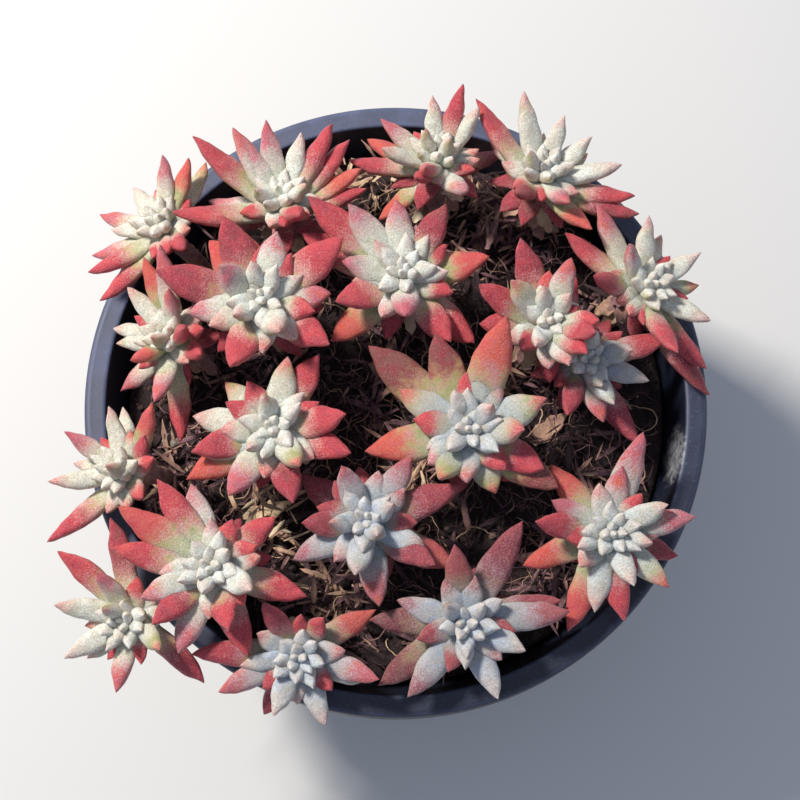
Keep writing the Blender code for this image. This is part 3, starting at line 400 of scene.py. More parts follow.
dice = random.Random(11)
heap = Heap()
for number in range(CRUMBS):
    reach = (soil_wall(SOIL_TOP) - 1.5 * MM) * math.sqrt(dice.random())
    turn = dice.uniform(0, FULL_TURN)
    x, y = reach * math.cos(turn), reach * math.sin(turn)
    size = (0.3 + 0.9 * dice.random() ** 4) * MM
    tone = dice.choice(CRUMB_TONES) + (SAND_TONE if dice.random() < SAND_SHARE else 0)
    place = (x, y, soil_height(x, y) + 0.3 * size)
    heap.add(*grain(dice, place, size, dice.uniform(0.5, 0.9)), grain_tone=tone)
as_piece("soil_crumbs", heap, earth, "potting_soil", smooth=False)


# The plan of the clump: the lines on which every stem and leaf is laid, the same as in the solids.
# It is drawn as seen by an eye above the front of the pot, on a level sheet, and each point is slid
# along its line of sight to its real height. Leaves of two rosettes that meet bend clear.

STEM_DEPTH = 12 * MM                  # how deep a stem stands in the soil
STEM_RADIUS = 2.3 * MM
NECK = 1.8 * MM                       # the straight last piece of a stem under its rosette
FAR_STEM = 58 * MM                    # no stem leaves the soil further out than this
STEM_SPACING = 9.5 * MM               # between the feet of two stems, at least
OVERHANG = 64 * MM                    # rosettes whose stems end further out hang over the rim

# The leaves. A whorl is (length, half width, half thickness, rise of the leaf over the rosette's
# plane as a sine, height of the root on the rosette's axis).
LOW = (20 * MM, 4.3 * MM, 2.1 * MM, 0.12, 0.0 * MM)
MID = (15.5 * MM, 3.8 * MM, 2.1 * MM, 0.42, 1.5 * MM)
INNER = (11 * MM, 2.5 * MM, 2.0 * MM, 0.62, 2.6 * MM)
FILL = (13.5 * MM, 3.4 * MM, 2.0 * MM, 0.26, 1.0 * MM)
FILL_LEAVES = 6                       # stand in the widest gaps between those that the plan gives
OLD = (15 * MM, 3.4 * MM, 1.5 * MM, -0.35, -1.2 * MM)
OLD_LEAVES = 6                        # hang round the stem under all the others
STEEPEST_FALL = -0.6                  # an old leaf pressed down further than this is dropped
WIDEST = 0.5                          # where along a leaf it is widest
ARCH = 2.2                            # how long it keeps its width from there to its tip
CLASP = 0.8                           # its width at the root, as a share of the full width
YOUNG_LEAVES = 7                      # chalky leaves round the heart, with the inner ones
YOUNG_RISE = math.radians(31)
BUD_LEAVES = 7
BUD_RISE = (math.radians(40), math.radians(78))
BUD_LENGTH = (7.8 * MM, 5.0 * MM)
BUD_HALF_WIDTH = (1.9 * MM, 1.3 * MM)
ABOVE = 0.85                          # how far a leaf swells over and under its middle plane, as
BELOW = 1.15                          # shares of its half thickness
HEART = 5 * MM                        # from the roots of the lowest leaves up to the heart
HEART_RISE = 0.05                     # each young leaf stands up this much more than the last,
HEART_SHRINK = 0.03                   # and is shorter by this share
TOP_BUD = 1.6 * MM                    # the last bud's root is this far under the heart
CORE_RADIUS = 4.2 * MM
CORE_DROP = 3.6 * MM                  # from those roots down to the flat end on the stem
ROOT_RING = 1.2 * MM                  # a leaf's root stands this far from the axis
BOW = 0.12                            # how far a leaf sags in its middle, as a share of its length
HEART_BOW = 0.1
HEART_PLUMPNESS = 0.8                 # a heart leaf's thickness, as a share of its width
STOUT = 0.4                           # how much a slender rosette keeps of its leaves' thickness
STEEP_SPREAD = 0.35                   # how far a leaf's rise may be from its whorl's
GOLDEN_ANGLE = math.radians(137.5)

# The sheet of the plan and the eye that it is drawn for.
PLAN_LEVEL = 100 * MM
EYE_ELEVATION = math.radians(78)
EYE_DISTANCE = 420 * MM
EYE = Vector((0, -EYE_DISTANCE * math.cos(EYE_ELEVATION),
              RIM_TOP + EYE_DISTANCE * math.sin(EYE_ELEVATION)))

# Each rosette: its heart (x, y on the plan, then its height), how it leans (sideways per unit of
# height), how slender its leaves are, and the tips of its low, middle and inner leaves on the
# plan. All in millimetres from the pot's axis, back to front and left to right.
ROSETTES = (
    ((-57.0, 40.5, 99), (-0.45, 0.30), 0.56,
     ((-71.4, 31.6), (-72.5, 27.6), (-69.3, 20.7), (-70.3, 42.0), (-45.0, 55.0)),
     ((-67.3, 38.2), (-62.5, 48.7), (-55.5, 57.0), (-49.3, 56.0), (-50.0, 33.5)),
     ()),
    ((-27.5, 47.5, 101), (-0.10, 0.55), 0.64,
     ((-48.5, 61.6), (-53.8, 42.0), (-44.3, 45.2), (-7.0, 48.3), (-8.0, 53.5), (-11.2, 60.8)),
     ((-39.0, 63.7), (-31.3, 65.7), (-22.5, 62.6), (-15.2, 64.8), (-22.5, 42.0)),
     ((-35.0, 59.0), (-33.7, 48.3), (-21.3, 49.6))),
    ((10.0, 58.0, 101), (0.00, 0.55), 0.60,
     ((-11.2, 55.3), (-7.0, 60.8), (25.7, 57.5), (17.0, 47.6), (-4.0, 40.5), (4.8, 51.0)),
     ((-3.5, 66.0), (-3.5, 58.4), (8.9, 71.8), (16.1, 74.8), (20.0, 68.9), (6.8, 53.5)),
     ((13.0, 61.4), (7.0, 63.6))),
    ((35.5, 54.0, 101), (0.20, 0.50), 0.62,
     ((19.3, 71.1), (22.0, 63.2), (56.8, 46.4), (57.6, 41.8), (46.5, 38.4), (29.0, 47.2)),
     ((30.8, 72.9), (40.4, 66.9), (46.9, 61.4), (46.0, 57.0), (53.8, 54.4), (41.3, 45.0)),
     ((35.4, 62.3), (32.2, 58.0))),
    ((60.3, 25.0, 99), (0.40, 0.10), 0.62,
     ((47.8, 44.8), (40.0, 37.4), (46.6, 26.8), (65.7, 8.3), (72.3, 4.3), (72.6, -1.9)),
     ((60.0, 41.6), (62.5, 37.0), (71.9, 32.5), (71.0, 24.3), (73.7, 15.9), (55.2, 34.7)),
     ()),
    ((36.0, 16.5, 104), (0.05, 0.00), 0.80,
     ((29.3, 36.3), (42.5, 26.5), (19.4, 24.6), (19.5, 15.2), (29.2, 9.2), (46.8, 13.0)),
     ((27.2, 25.8), (41.5, 31.2), (42.8, 19.5)),
     ((34.7, 24.2), (41.0, 22.6), (32.6, 10.0))),
    ((45.0, 7.0, 96), (0.15, -0.10), 0.68,
     ((39.7, -6.8), (55.8, -13.3), (48.0, -8.2), (64.0, 12.0)),
     ((58.8, 1.7), (55.3, 9.2), (50.5, -4.0)),
     ((47.7, 0.2), (41.0, 6.7))),
    ((2.0, 28.0, 104), (0.00, 0.08), 0.86,
     ((-20.8, 46.4), (-22.3, 37.3), (-14.0, 20.5), (-15.3, 11.0), (13.0, 10.8), (18.5, 10.3),
      (22.0, 31.7)),
     ((-11.3, 44.7), (0.2, 45.8), (12.0, 44.5), (-12.6, 30.5), (2.3, 17.0)),
     ((7.8, 37.0), (-5.2, 35.5), (12.4, 27.9))),
    ((-32.0, 21.5, 107), (0.00, 0.00), 0.95,
     ((-41.0, 41.8), (-37.0, 38.6), (-56.6, 28.4), (-12.3, 36.4), (-38.5, 5.0), (-15.5, 10.3),
      (-43.9, 35.7)),
     ((-27.9, 37.8), (-48.5, 17.9), (-15.2, 22.6), (-41.5, 29.3), (-27.0, 13.5)),
     ((-37.7, 17.2), (-33.9, 30.5), (-22.0, 27.0))),
    ((-54.5, 13.0, 99), (-0.40, 0.08), 0.60,
     ((-55.7, 34.5), (-59.5, 31.5), (-49.6, -13.2), (-56.0, -3.4), (-63.7, -0.9), (-45.2, 7.7)),
     ((-63.0, 24.1), (-66.0, 14.3), (-65.0, 10.4), (-61.6, 6.3), (-53.4, 23.8), (-49.7, 14.0)),
     ((-57.2, 12.0),)),
    ((-28.5, -9.0, 103), (0.00, 0.00), 0.84,
     ((-47.0, -6.8), (-39.5, 1.3), (-48.0, -21.6), (-47.0, -15.1), (-38.4, -25.3),
      (-23.5, -27.0), (-10.2, -15.4), (-11.5, -6.3), (-18.0, 8.0)),
     ((-25.1, 7.3), (-44.0, -16.2), (-22.0, -18.5)),
     ((-21.2, -1.0), (-30.6, -1.6), (-34.3, -14.5))),
    ((17.0, -9.3, 104), (0.00, 0.00), 0.94,
     ((-6.3, 10.1), (9.0, 13.0), (26.0, 17.3), (37.3, -23.7), (34.2, -19.4), (-7.0, -15.0),
      (10.0, -21.5)),
     ((21.7, 6.7), (34.9, -2.6), (29.7, -9.8), (23.0, -25.0), (0.7, -0.7)),
     ((13.5, -0.5), (6.7, -14.5), (22.5, -4.0))),
    ((-64.5, -19.5, 99), (-0.45, 0.05), 0.56,
     ((-79.3, -36.0), (-56.5, -3.6), (-57.7, -11.3), (-63.0, -4.5)),
     ((-76.3, -10.3), (-74.0, -17.8), (-79.7, -22.2), (-66.5, -4.4)),
     ((-66.5, -18.4),)),
    ((-42.2, -41.6, 105), (-0.05, -0.05), 0.78,
     ((-54.6, -21.6), (-63.6, -27.8), (-64.5, -37.5), (-20.0, -48.4), (-33.0, -61.8),
      (-55.0, -54.6), (-47.0, -22.5), (-37.5, -56.0)),
     ((-57.7, -49.0), (-49.0, -61.3), (-32.5, -46.8), (-27.5, -30.0)),
     ((-42.0, -30.2),)),
    ((-6.8, -31.0, 101), (0.00, 0.00), 0.80,
     ((-22.0, -20.6), (-21.5, -31.5), (-3.8, -50.7), (13.7, -41.7), (9.0, -41.3),
      (15.1, -22.9), (-8.3, -18.5)),
     ((-23.3, -40.0), (-9.3, -43.5), (6.9, -37.7), (3.8, -16.2), (-12.5, -18.5)),
     ((-15.2, -31.5), (-0.5, -27.2), (-4.0, -34.5))),
    ((49.5, -33.5, 100), (0.12, -0.10), 0.72,
     ((57.2, -10.4), (35.3, -18.0), (31.8, -31.5), (28.7, -41.6), (38.8, -56.3), (64.0, -39.3),
      (51.5, -54.0)),
     ((52.0, -18.2), (35.7, -26.5), (68.4, -30.0), (62.3, -27.3), (62.0, -46.3), (44.8, -52.0),
      (54.0, -46.0)),
     ((58.6, -36.3), (41.5, -37.5))),
    ((-61.5, -54.0, 99), (-0.35, -0.30), 0.64,
     ((-65.0, -30.4), (-42.8, -67.7), (-76.9, -37.9)),
     ((-77.3, -50.2), (-74.4, -62.2), (-69.2, -62.4), (-62.6, -69.7), (-53.0, -60.4),
      (-68.0, -42.8)),
     ((-66.5, -51.2),)),
    ((-22.0, -62.2, 98), (0.00, -0.25), 0.68,
     ((-46.0, -61.2), (-30.0, -49.8), (-21.5, -52.5), (-4.5, -51.5), (-3.7, -67.0),
      (-29.5, -74.8)),
     ((-39.8, -69.8), (-27.4, -74.9), (-15.6, -77.3), (-7.5, -67.6)),
     ((-35.0, -64.0),)),
    ((15.7, -54.8, 98), (0.00, -0.18), 0.74,
     ((-3.9, -68.3), (-6.0, -53.6), (29.0, -31.0), (13.5, -36.5), (37.5, -49.2)),
     ((0.3, -49.3), (2.8, -71.0), (23.0, -71.2), (29.3, -60.6), (39.5, -51.8)),
     ((15.6, -64.7), (24.3, -48.9), (11.3, -50.2))),
)


def on_sight_line(x, y, height):
    """The point of the plan at x, y, slid along its line of sight to this height."""
    sheet = Vector((x, y, PLAN_LEVEL))
    return EYE + (sheet - EYE) * ((EYE.z - height) / (EYE.z - PLAN_LEVEL))


def tip_of_leaf(x, y, root, axis, length, rise):
    """Where the leaf from this root ends: on the line of sight of its tip, at its own length.

    Of the two places that do, it takes the one whose rise over the rosette's plane is nearer to
    the whorl's. A tip further off than the length gets a longer leaf, and one that would stand
    up more steeply than the whorl does gets a shorter leaf.
    """
    ray = (Vector((x, y, PLAN_LEVEL)) - EYE).normalized()
    nearest = (root - EYE).dot(ray)
    while True:
        spare = length ** 2 - (EYE + ray * nearest - root).length_squared
        if spare <= 0:
            return EYE + ray * nearest
        places = [EYE + ray * (nearest + side * math.sqrt(spare)) for side in (-1, 1)]
        steeps = [(place - root).dot(axis) / length for place in places]
        best = min((0, 1), key=lambda side: abs(steeps[side] - rise))
        if abs(steeps[best] - rise) < STEEP_SPREAD:
            return places[best]
        length *= 0.96


class Leaf:
    """A leaf on its centre line, a quadratic curve from the root through a handle to the tip."""

    def __init__(self, rosette, root, tip, axis, half_width, half_thickness, bow):
        self.rosette = rosette
        self.root = root
        self.tip = tip
        self.axis = axis
        self.half_width = half_width
        self.half_thickness = half_thickness
        self.handle = (root + tip) / 2 - axis * (bow * (tip - root).length)


def fullness(t):
    """The share of a leaf's full width at t: a broad clasping base, a full middle, an arched tip."""
    if t < WIDEST:
        return CLASP + (1 - CLASP) * math.sin(t / WIDEST * math.pi / 2)
    return 1 - ((t - WIDEST) / (1 - WIDEST)) ** ARCH


def rosette_leaves(index):
    """The rosette's leaves: three whorls whose tips the plan gives, the leaves between and under
    them, and a heart of bud leaves."""
    heart, lean, slender, *whorls = ROSETTES[index]
    stocky = STOUT + (1 - STOUT) * slender
    axis = Vector((*lean, 1)).normalized()
    centre = on_sight_line(heart[0] * MM, heart[1] * MM, heart[2] * MM) - axis * HEART
    leaves = []
    for (length, half_width, half_thickness, rise, height), tips in zip((LOW, MID, INNER), whorls):
        for x, y in tips:
            root = centre + axis * height
            tip = tip_of_leaf(x * MM, y * MM, root, axis, length, rise)
            size = 0.6 + 0.4 * (tip - root).length / length
            wide = half_width * size * (slender if tips is not whorls[2] else stocky)
            outward = (tip - root) - axis * (tip - root).dot(axis)
            root = root + outward.normalized() * ROOT_RING
            leaves.append(Leaf(index, root, tip, axis, wide, half_thickness * size * stocky, BOW))
    side = axis.orthogonal().normalized()
    front = axis.cross(side)
    ends = [leaf.tip - leaf.root for leaf in leaves]
    turns = [math.atan2(end.dot(front), end.dot(side)) for end in ends]
    length, half_width, half_thickness, rise, height = FILL
    for _ in range(FILL_LEAVES):
        turns.append(widest_gap(turns))
        way = side * math.cos(turns[-1]) + front * math.sin(turns[-1]) + axis * rise
        root = centre + axis * height
        leaves.append(Leaf(index, root, root + way * (length * stocky), axis, half_width * stocky,
                           half_thickness * stocky, BOW))
    length, half_width, half_thickness, rise, height = OLD
    overhanging = math.hypot(centre.x, centre.y) > OVERHANG
    for number in range(0 if overhanging else OLD_LEAVES):
        turn = 0.5 + index + number * GOLDEN_ANGLE
        way = side * math.cos(turn) + front * math.sin(turn) + axis * rise
        root = centre + axis * height
        leaves.append(Leaf(index, root, root + way * (length * stocky), axis, half_width * stocky,
                           half_thickness * stocky, -BOW))
    length, half_width, half_thickness, _, height = INNER
    young = YOUNG_LEAVES - len(whorls[2])
    for number in range(young):
        rise = YOUNG_RISE + HEART_RISE * number
        reach = length * stocky * (1 - HEART_SHRINK * number)
        leaves.append(heart_leaf(index, number, centre + axis * height, axis, rise, reach,
                                 half_width * stocky))
    for number in range(BUD_LEAVES):
        share = number / (BUD_LEAVES - 1)
        rise, reach, wide = (high + (low - high) * share
                             for high, low in (BUD_RISE, BUD_LENGTH, BUD_HALF_WIDTH))
        root = centre + axis * (height + (HEART - TOP_BUD - height) * share)
        leaves.append(heart_leaf(index, young + number, root, axis, rise, reach, wide))
    return centre, axis, leaves


def widest_gap(turns):
    """The direction in the middle of the widest gap between these, all angles round one axis."""
    around = sorted(turn % FULL_TURN for turn in turns)
    gaps = [(after - before, before)
            for before, after in zip(around, around[1:] + [around[0] + FULL_TURN])]
    width, before = max(gaps)
    return before + width / 2


def heart_leaf(index, number, root, axis, rise, reach, half_width):
    """One of the short leaves of the heart, each turned by the golden angle from the last."""
    turn = Matrix.Rotation(index + number * GOLDEN_ANGLE, 3, axis)
    way = turn @ axis.orthogonal().normalized() * math.cos(rise) + axis * math.sin(rise)
    return Leaf(index, root, root + way * reach, axis, half_width, half_width * HEART_PLUMPNESS,
                HEART_BOW)


# How leaves of different rosettes make room for each other.
STATIONS = np.array((0.15, 0.3, 0.45, 0.6, 0.75, 0.9, 1.0))
ROOM = 0.45 * MM
ROUNDS = 150
EASE = 0.4
SLOPE_REACH = 1.6 * MM                # how much more height a steep leaf takes between stations
NEIGHBOUR = 4 * MM                    # leaves further apart on the plan than this never meet


def station_points(roots, handles, tips):
    """The points of every leaf's centre line at the stations, leaf by leaf."""
    t = STATIONS[None, :, None]
    lines = (roots[:, None] * (1 - t) ** 2 + handles[:, None] * (2 * t * (1 - t))
             + tips[:, None] * t ** 2)
    return lines.reshape(-1, 3)


def lowest_allowed(points, reach):
    """How low a leaf may pass at each point: over the soil, and over the rim where it crosses it."""
    radius = np.hypot(points[:, 0], points[:, 1])
    inside = RIM_RADIUS - RIM_WIDTH - 2 * MM
    beyond = radius > RIM_RADIUS + 2 * MM
    floor = np.where(beyond, 0.0, np.where(radius > inside, RIM_TOP, SOIL_TOP + 2 * MM))
    return floor + reach + ROOM


def settle(leaves, posts):
    """Bends the leaves that would cross a leaf of another rosette until they lie clear of it.

    The higher leaf goes up and the lower one down, each along its own line of sight, so the plan
    doesn't change. Stems and cores, the posts, stand still: a leaf that meets one swings aside.
    """
    count, stops = len(leaves), len(STATIONS)
    roots = np.array([leaf.root[:] for leaf in leaves])
    handles = np.array([leaf.handle[:] for leaf in leaves])
    tips = np.array([leaf.tip[:] for leaf in leaves])
    full = np.array([fullness(t) for t in STATIONS])
    wide = np.array([leaf.half_width * np.maximum(full, 0.12) for leaf in leaves]).ravel()
    thick = np.array([leaf.half_thickness * np.maximum(full, 0.3) for leaf in leaves]).ravel()
    owner = np.repeat([leaf.rosette for leaf in leaves], stops)
    share = np.tile(STATIONS, count)
    leaf_of = np.repeat(np.arange(count), stops)
    sight = (np.array(EYE) - tips) / np.linalg.norm(np.array(EYE) - tips, axis=1)[:, None]
    start = station_points(roots, handles, tips)
    apart = np.hypot(start[:, None, 0] - start[None, :, 0], start[:, None, 1] - start[None, :, 1])
    near = apart < wide[:, None] + wide[None, :] + NEIGHBOUR
    one, other = np.nonzero(near & (owner[:, None] != owner[None, :]))
    post_owner = np.repeat([post[0] for post in posts], [len(post[1]) for post in posts])
    post_radius = np.repeat([post[2] for post in posts], [len(post[1]) for post in posts])
    post_points = np.array([point[:] for post in posts for point in post[1]])
    for _ in range(ROUNDS):
        points = station_points(roots, handles, tips)
        ends = tips - roots
        steep = np.abs(ends[:, 2]) / np.linalg.norm(ends, axis=1)
        reach = thick + np.repeat(steep, stops) * SLOPE_REACH
        over = points[one, 2] - points[other, 2]
        apart = np.hypot(points[one, 0] - points[other, 0], points[one, 1] - points[other, 1])
        need = reach[one] + reach[other] + ROOM - np.abs(over)
        need = np.where((apart < wide[one] + wide[other]) & (need > 0), need, 0.0)
        need = need * np.where(over >= 0, 1.0, -1.0) * share[one] / (share[one] + share[other])
        up = np.zeros(len(points))
        down = np.zeros(len(points))
        np.maximum.at(up, one, need)
        np.minimum.at(down, one, need)
        low = lowest_allowed(points, reach) - points[:, 2]
        move = np.where(low > 0, np.maximum(up + down, low), up + down) / np.maximum(share, 0.35)
        rise = np.zeros(count)
        fall = np.zeros(count)
        np.maximum.at(rise, leaf_of, move)
        np.minimum.at(fall, leaf_of, move)
        slide = sight * ((rise + fall) * EASE)[:, None]
        away = points[:, None, :] - post_points[None, :, :]
        gap = np.hypot(away[..., 0], away[..., 1])
        short = post_radius[None, :] + wide[:, None] * 0.9 + ROOM - gap
        hit = (owner[:, None] != post_owner[None, :]) & (np.abs(away[..., 2]) < 3 * MM) & (short > 0)
        push = np.where(hit, short / np.maximum(gap, 0.1 * MM), 0.0)
        aside = np.zeros((len(points), 3))
        aside[:, 0] = (away[..., 0] * push).sum(axis=1)
        aside[:, 1] = (away[..., 1] * push).sum(axis=1)
        for axis in (0, 1):
            np.add.at(slide[:, axis], leaf_of, aside[:, axis] * EASE / 2)
        tips = tips + slide
        handles = handles + slide / 2
    for leaf, handle, tip in zip(leaves, handles, tips):
        leaf.handle = Vector(handle)
        leaf.tip = Vector(tip)


def hangs_free(leaf):
    """Whether a leaf still spreads from its stem, and isn't pressed down along it."""
    line = leaf.tip - leaf.root
    return line.dot(leaf.axis) > STEEPEST_FALL * line.length


def stem_feet(tops):
    """Where the stems leave the soil: under their rosettes, inside the pot, and spaced out."""
    feet = []
    for top in tops:
        flat = Vector((top.x, top.y))
        feet.append(flat * min(0.93, FAR_STEM / max(flat.length, 0.1 * MM)))
    for _ in range(60):
        for one in feet:
            for other in feet:
                away = one - other
                if one is not other and away.length < STEM_SPACING:
                    one += away.normalized() * (0.1 * (STEM_SPACING - away.length))
            if one.length > FAR_STEM:
                one *= FAR_STEM / one.length
    return feet


def stem_spine(centre, axis, foot):
    """The stem's centre line, from its foot in the soil up to the flat end of the core."""
    top = centre - axis * (CORE_DROP + TOUCH)
    neck = top - axis * NECK
    ground = Vector((foot.x, foot.y, SOIL_TOP + 2 * MM))
    handle = neck - axis * (0.5 * (neck - ground).length)
    handle.z = max(handle.z, ground.z + 0.55 * (neck.z - ground.z))
    if math.hypot(top.x, top.y) > OVERHANG:
        handle = Vector((foot.x, foot.y, neck.z))
    points = [Vector((foot.x, foot.y, SOIL_TOP - STEM_DEPTH))]
    for u in (0, 0.3, 0.65, 1):
        points.append(ground * (1 - u) ** 2 + handle * (2 * u * (1 - u)) + neck * u ** 2)
    return points + [top]


plants = [rosette_leaves(index) for index in range(len(ROSETTES))]
feet = stem_feet([centre for centre, _, _ in plants])
spines = [stem_spine(plant[0], plant[1], foot) for plant, foot in zip(plants, feet)]
posts = []
for index, (centre, axis, _) in enumerate(plants):
    posts.append((index, [centre, centre + axis * HEART], CORE_RADIUS))
    line = [low.lerp(high, step / 3) for low, high in zip(spines[index][1:], spines[index][2:])
            for step in range(3)]
    posts.append((index, line, STEM_RADIUS))
settle([leaf for _, _, leaves in plants for leaf in leaves], posts)


# The stems: short, woody, about 5 mm thick and ringed with the scars of old leaves. On those inside
# the pot, leaves that died back still hang round the stem under its rosette, papery and brown.

SKIRT_LEAVES = 24
SKIRT_LENGTH = 11 * MM
SKIRT_HALF_WIDTH = 2.1 * MM
SKIRT_HALF_THICKNESS = 0.45 * MM
SKIRT_BOW = -0.15
SKIRT_TOP = 1.6 * MM                  # the first leaf's root is this far under the rosette,
SKIRT_STEP = 0.25 * MM                # and each next one this much lower
SKIRT_TONES = (0.02, 0.1, 0.16, 0.24, 0.36, 0.48)
BARK_SIDES = 18
BARK_RINGS = 46
SCAR_SPACING = 1.9 * MM
SCAR_HEIGHT = 0.09                    # scars and knobs stand out by these shares of the radius
KNOB_HEIGHT = 0.14
KNOB_SIZE = 1.4 * MM
CREASE_SIZE = 1.1 * MM
CREASE_DEPTH = 0.45 * MM


def blade(leaf, sides, stations, section, outline):
    """The skin of a leaf: rings of its section, scaled by its outline, along its centre line.

    Gives the points and faces, and at each point its place on the leaf: the share of the length,
    the side from -1 to 1, and the face, above or below.
    """
    t = np.array(stations)[:, None]
    root, handle, tip = (np.array(point) for point in (leaf.root, leaf.handle, leaf.tip))
    centre = root * (1 - t) ** 2 + handle * (2 * t * (1 - t)) + tip * t ** 2
    along = (handle - root) * (1 - t) + (tip - handle) * t
    along /= np.linalg.norm(along, axis=1)[:, None]
    across = np.cross(along, np.array(leaf.axis))
    across /= np.linalg.norm(across, axis=1)[:, None]
    upward = np.cross(across, along)
    angle = np.arange(sides) * FULL_TURN / sides
    side, height = section(angle)
    wide, thick = outline(t[:, 0])
    sideways = side[None] * wide[:, None] * leaf.half_width
    upwards = height[None] * thick[:, None] * leaf.half_thickness
    rings = (centre[:, None] + across[:, None] * sideways[..., None]
             + upward[:, None] * upwards[..., None])
    place = np.zeros((len(stations), sides, 3))
    place[..., 0] = t
    place[..., 1] = side
    place[..., 2] = np.sin(angle)
    place = np.concatenate((place.reshape(-1, 3), ((0, 0, 0), (1, 0, 0))))
    return skin(rings, root, tip) + (place,)


def papery(leaf, dice, curl, sides=10, rings=11):
    """A dead leaf: thin, shrunk, rolled in along its length and crumpled."""
    phase = dice.uniform(0, ANY_TURN)

    def section(angle):
        side = np.sign(np.cos(angle)) * np.abs(np.cos(angle)) ** 0.7
        return side * 0.85, 0.4 * np.sin(angle) + curl * side ** 2

    def outline(t):
        root = 0.55 + 0.45 * np.sin(np.clip(t / 0.35, 0, 1) * math.pi / 2)
        wide = (1 - np.clip((t - 0.35) / 0.65, 0, 1) ** 2.2) * root
        return wide * (1 + 0.22 * np.sin(t * 17 + phase)) + 0.04, 0.6 + 0.4 * wide

    points, faces, place = blade(leaf, sides, np.linspace(0.02, 0.97, rings), section, outline)
    crease = np.array([noise.noise(Vector(point) / CREASE_SIZE) for point in points])
    points[:, 2] += crease * CREASE_DEPTH
    return points, faces, place


def dead_growth():
    """Bark and dead leaf: dull, fibrous brown with purple, tan and straw, bleached along the ridges."""
    made, tree, shader = new_finish("dry_bark_and_leaf")
    where = add_node(tree, "TexCoord")["Object"]
    blotch = add_node(tree, "TexNoise", {
        "Vector": where, "Scale": 1 / (2.6 * MM), "Detail": 4.0, "Roughness": 0.65})[0]
    # The fibres are about 0.05 mm thick, and are drawn coarser, so that they show.
    fibre = add_node(tree, "TexNoise", {"Vector": where, "Scale": 1 / (0.35 * MM), "Detail": 3.0})[0]
    tone = add_node(tree, "Attribute", attribute_name="dry_tone")["Fac"]
    shade = add_node(tree, "Math", {0: blotch, 1: 0.5, 2: tone}, operation="MULTIPLY_ADD")[0]
    shade = add_node(tree, "Math", {0: fibre, 1: 0.3, 2: shade}, operation="MULTIPLY_ADD")[0]
    colour = add_node(tree, "ValToRGB", {0: shade}, stops=(
        (0.26, "#3A2A2E"), (0.4, "#7A5860"), (0.53, "#A07C70"), (0.68, "#C29F84"), (0.82, "#D6BE9C"),
        (0.96, "#E8DEC8")))[0]
    bump = add_node(tree, "Bump", {"Strength": 0.6, "Distance": 0.15 * MM, "Height": fibre})[0]
    set_inputs(tree, shader, {"Base Color": colour, "Roughness": 0.85, "Normal": bump})
    return made


def bark(index, spine):
    """The stem's skin: ridged lengthwise, with a scar ring every couple of millimetres."""
    knots = np.array([point[:] for point in spine])
    gaps = np.concatenate(([0], np.cumsum(np.linalg.norm(np.diff(knots, axis=0), axis=1))))
    stops = np.linspace(0, gaps[-1], BARK_RINGS)
    line = np.stack([np.interp(stops, gaps, knots[:, axis]) for axis in range(3)], axis=1)
    for _ in range(3):
        line[1:-1] = (line[:-2] + line[1:-1] * 2 + line[2:]) / 4
    rings = np.zeros((len(line), BARK_SIDES, 3))
    forward = np.gradient(line, axis=0)
    forward /= np.linalg.norm(forward, axis=1)[:, None]
    right = np.cross(forward, (0.0, 1.0, 0.05))
    right /= np.linalg.norm(right, axis=1)[:, None]
    ahead = np.cross(right, forward)
    for row, stop in enumerate(stops):
        for side in range(BARK_SIDES):
            angle = side * FULL_TURN / BARK_SIDES
            out = right[row] * math.cos(angle) + ahead[row] * math.sin(angle)
            wave = math.sin(stop / SCAR_SPACING * FULL_TURN + 2 * math.sin(angle * 2 + index))
            knob = noise.noise(Vector(line[row] + out * STEM_RADIUS) / KNOB_SIZE)
            relief = 0.9 + SCAR_HEIGHT * wave + KNOB_HEIGHT * knob
            rings[row, side] = line[row] + out * (STEM_RADIUS * relief)
    return skin(rings, line[0], line[-1])


dead = dead_growth()
for index, (centre, axis, _) in enumerate(plants):
    spine = spines[index]
    dice = random.Random(100 + index)
    heap = Heap()
    heap.add(*bark(index, spine), dry_tone=0.1)
    side = axis.orthogonal().normalized()
    overhanging = math.hypot(spine[-1].x, spine[-1].y) > OVERHANG
    for number in range(0 if overhanging else SKIRT_LEAVES):
        turn = Matrix.Rotation(number * GOLDEN_ANGLE + dice.uniform(0, 0.5), 3, axis)
        root = spine[-1] - axis * (SKIRT_TOP + number * SKIRT_STEP)
        way = turn @ side
        reach = SKIRT_LENGTH * dice.uniform(0.6, 1.3)
        tip = root + way * (0.6 * reach) - Vector((0, 0, 0.62 * reach))
        tip.z = max(tip.z, SOIL_TOP + 2 * MM)
        face = (way + Vector((0, 0, 0.4))).normalized()
        leaf = Leaf(index, root, tip, face, SKIRT_HALF_WIDTH, SKIRT_HALF_THICKNESS, SKIRT_BOW)
        points, faces, _ = papery(leaf, dice, dice.uniform(0.5, 2.2))
        heap.add(points, faces, dry_tone=dice.choice(SKIRT_TONES))
    as_piece(f"woody_stem_{index + 1:02d}", heap, dead, "dry_stem", f"stem_{index + 1:02d}")


# The rosettes: fleshy, keeled leaves packed in a spiral, broad at the base and drawn to a point. A
# white, chalky wax powders them most at the heart, and in sun the bare tips turn coral and crimson.

LEAF_SIDES = 18
LEAF_RINGS = 20
SHARPER = 0.45                        # how much sooner a heart leaf narrows than a large one
LUMP_SIZE = 2.3 * MM
LUMP_DEPTH = 0.12 * MM
CORE_SIDES = 16
CORE_RINGS = 9
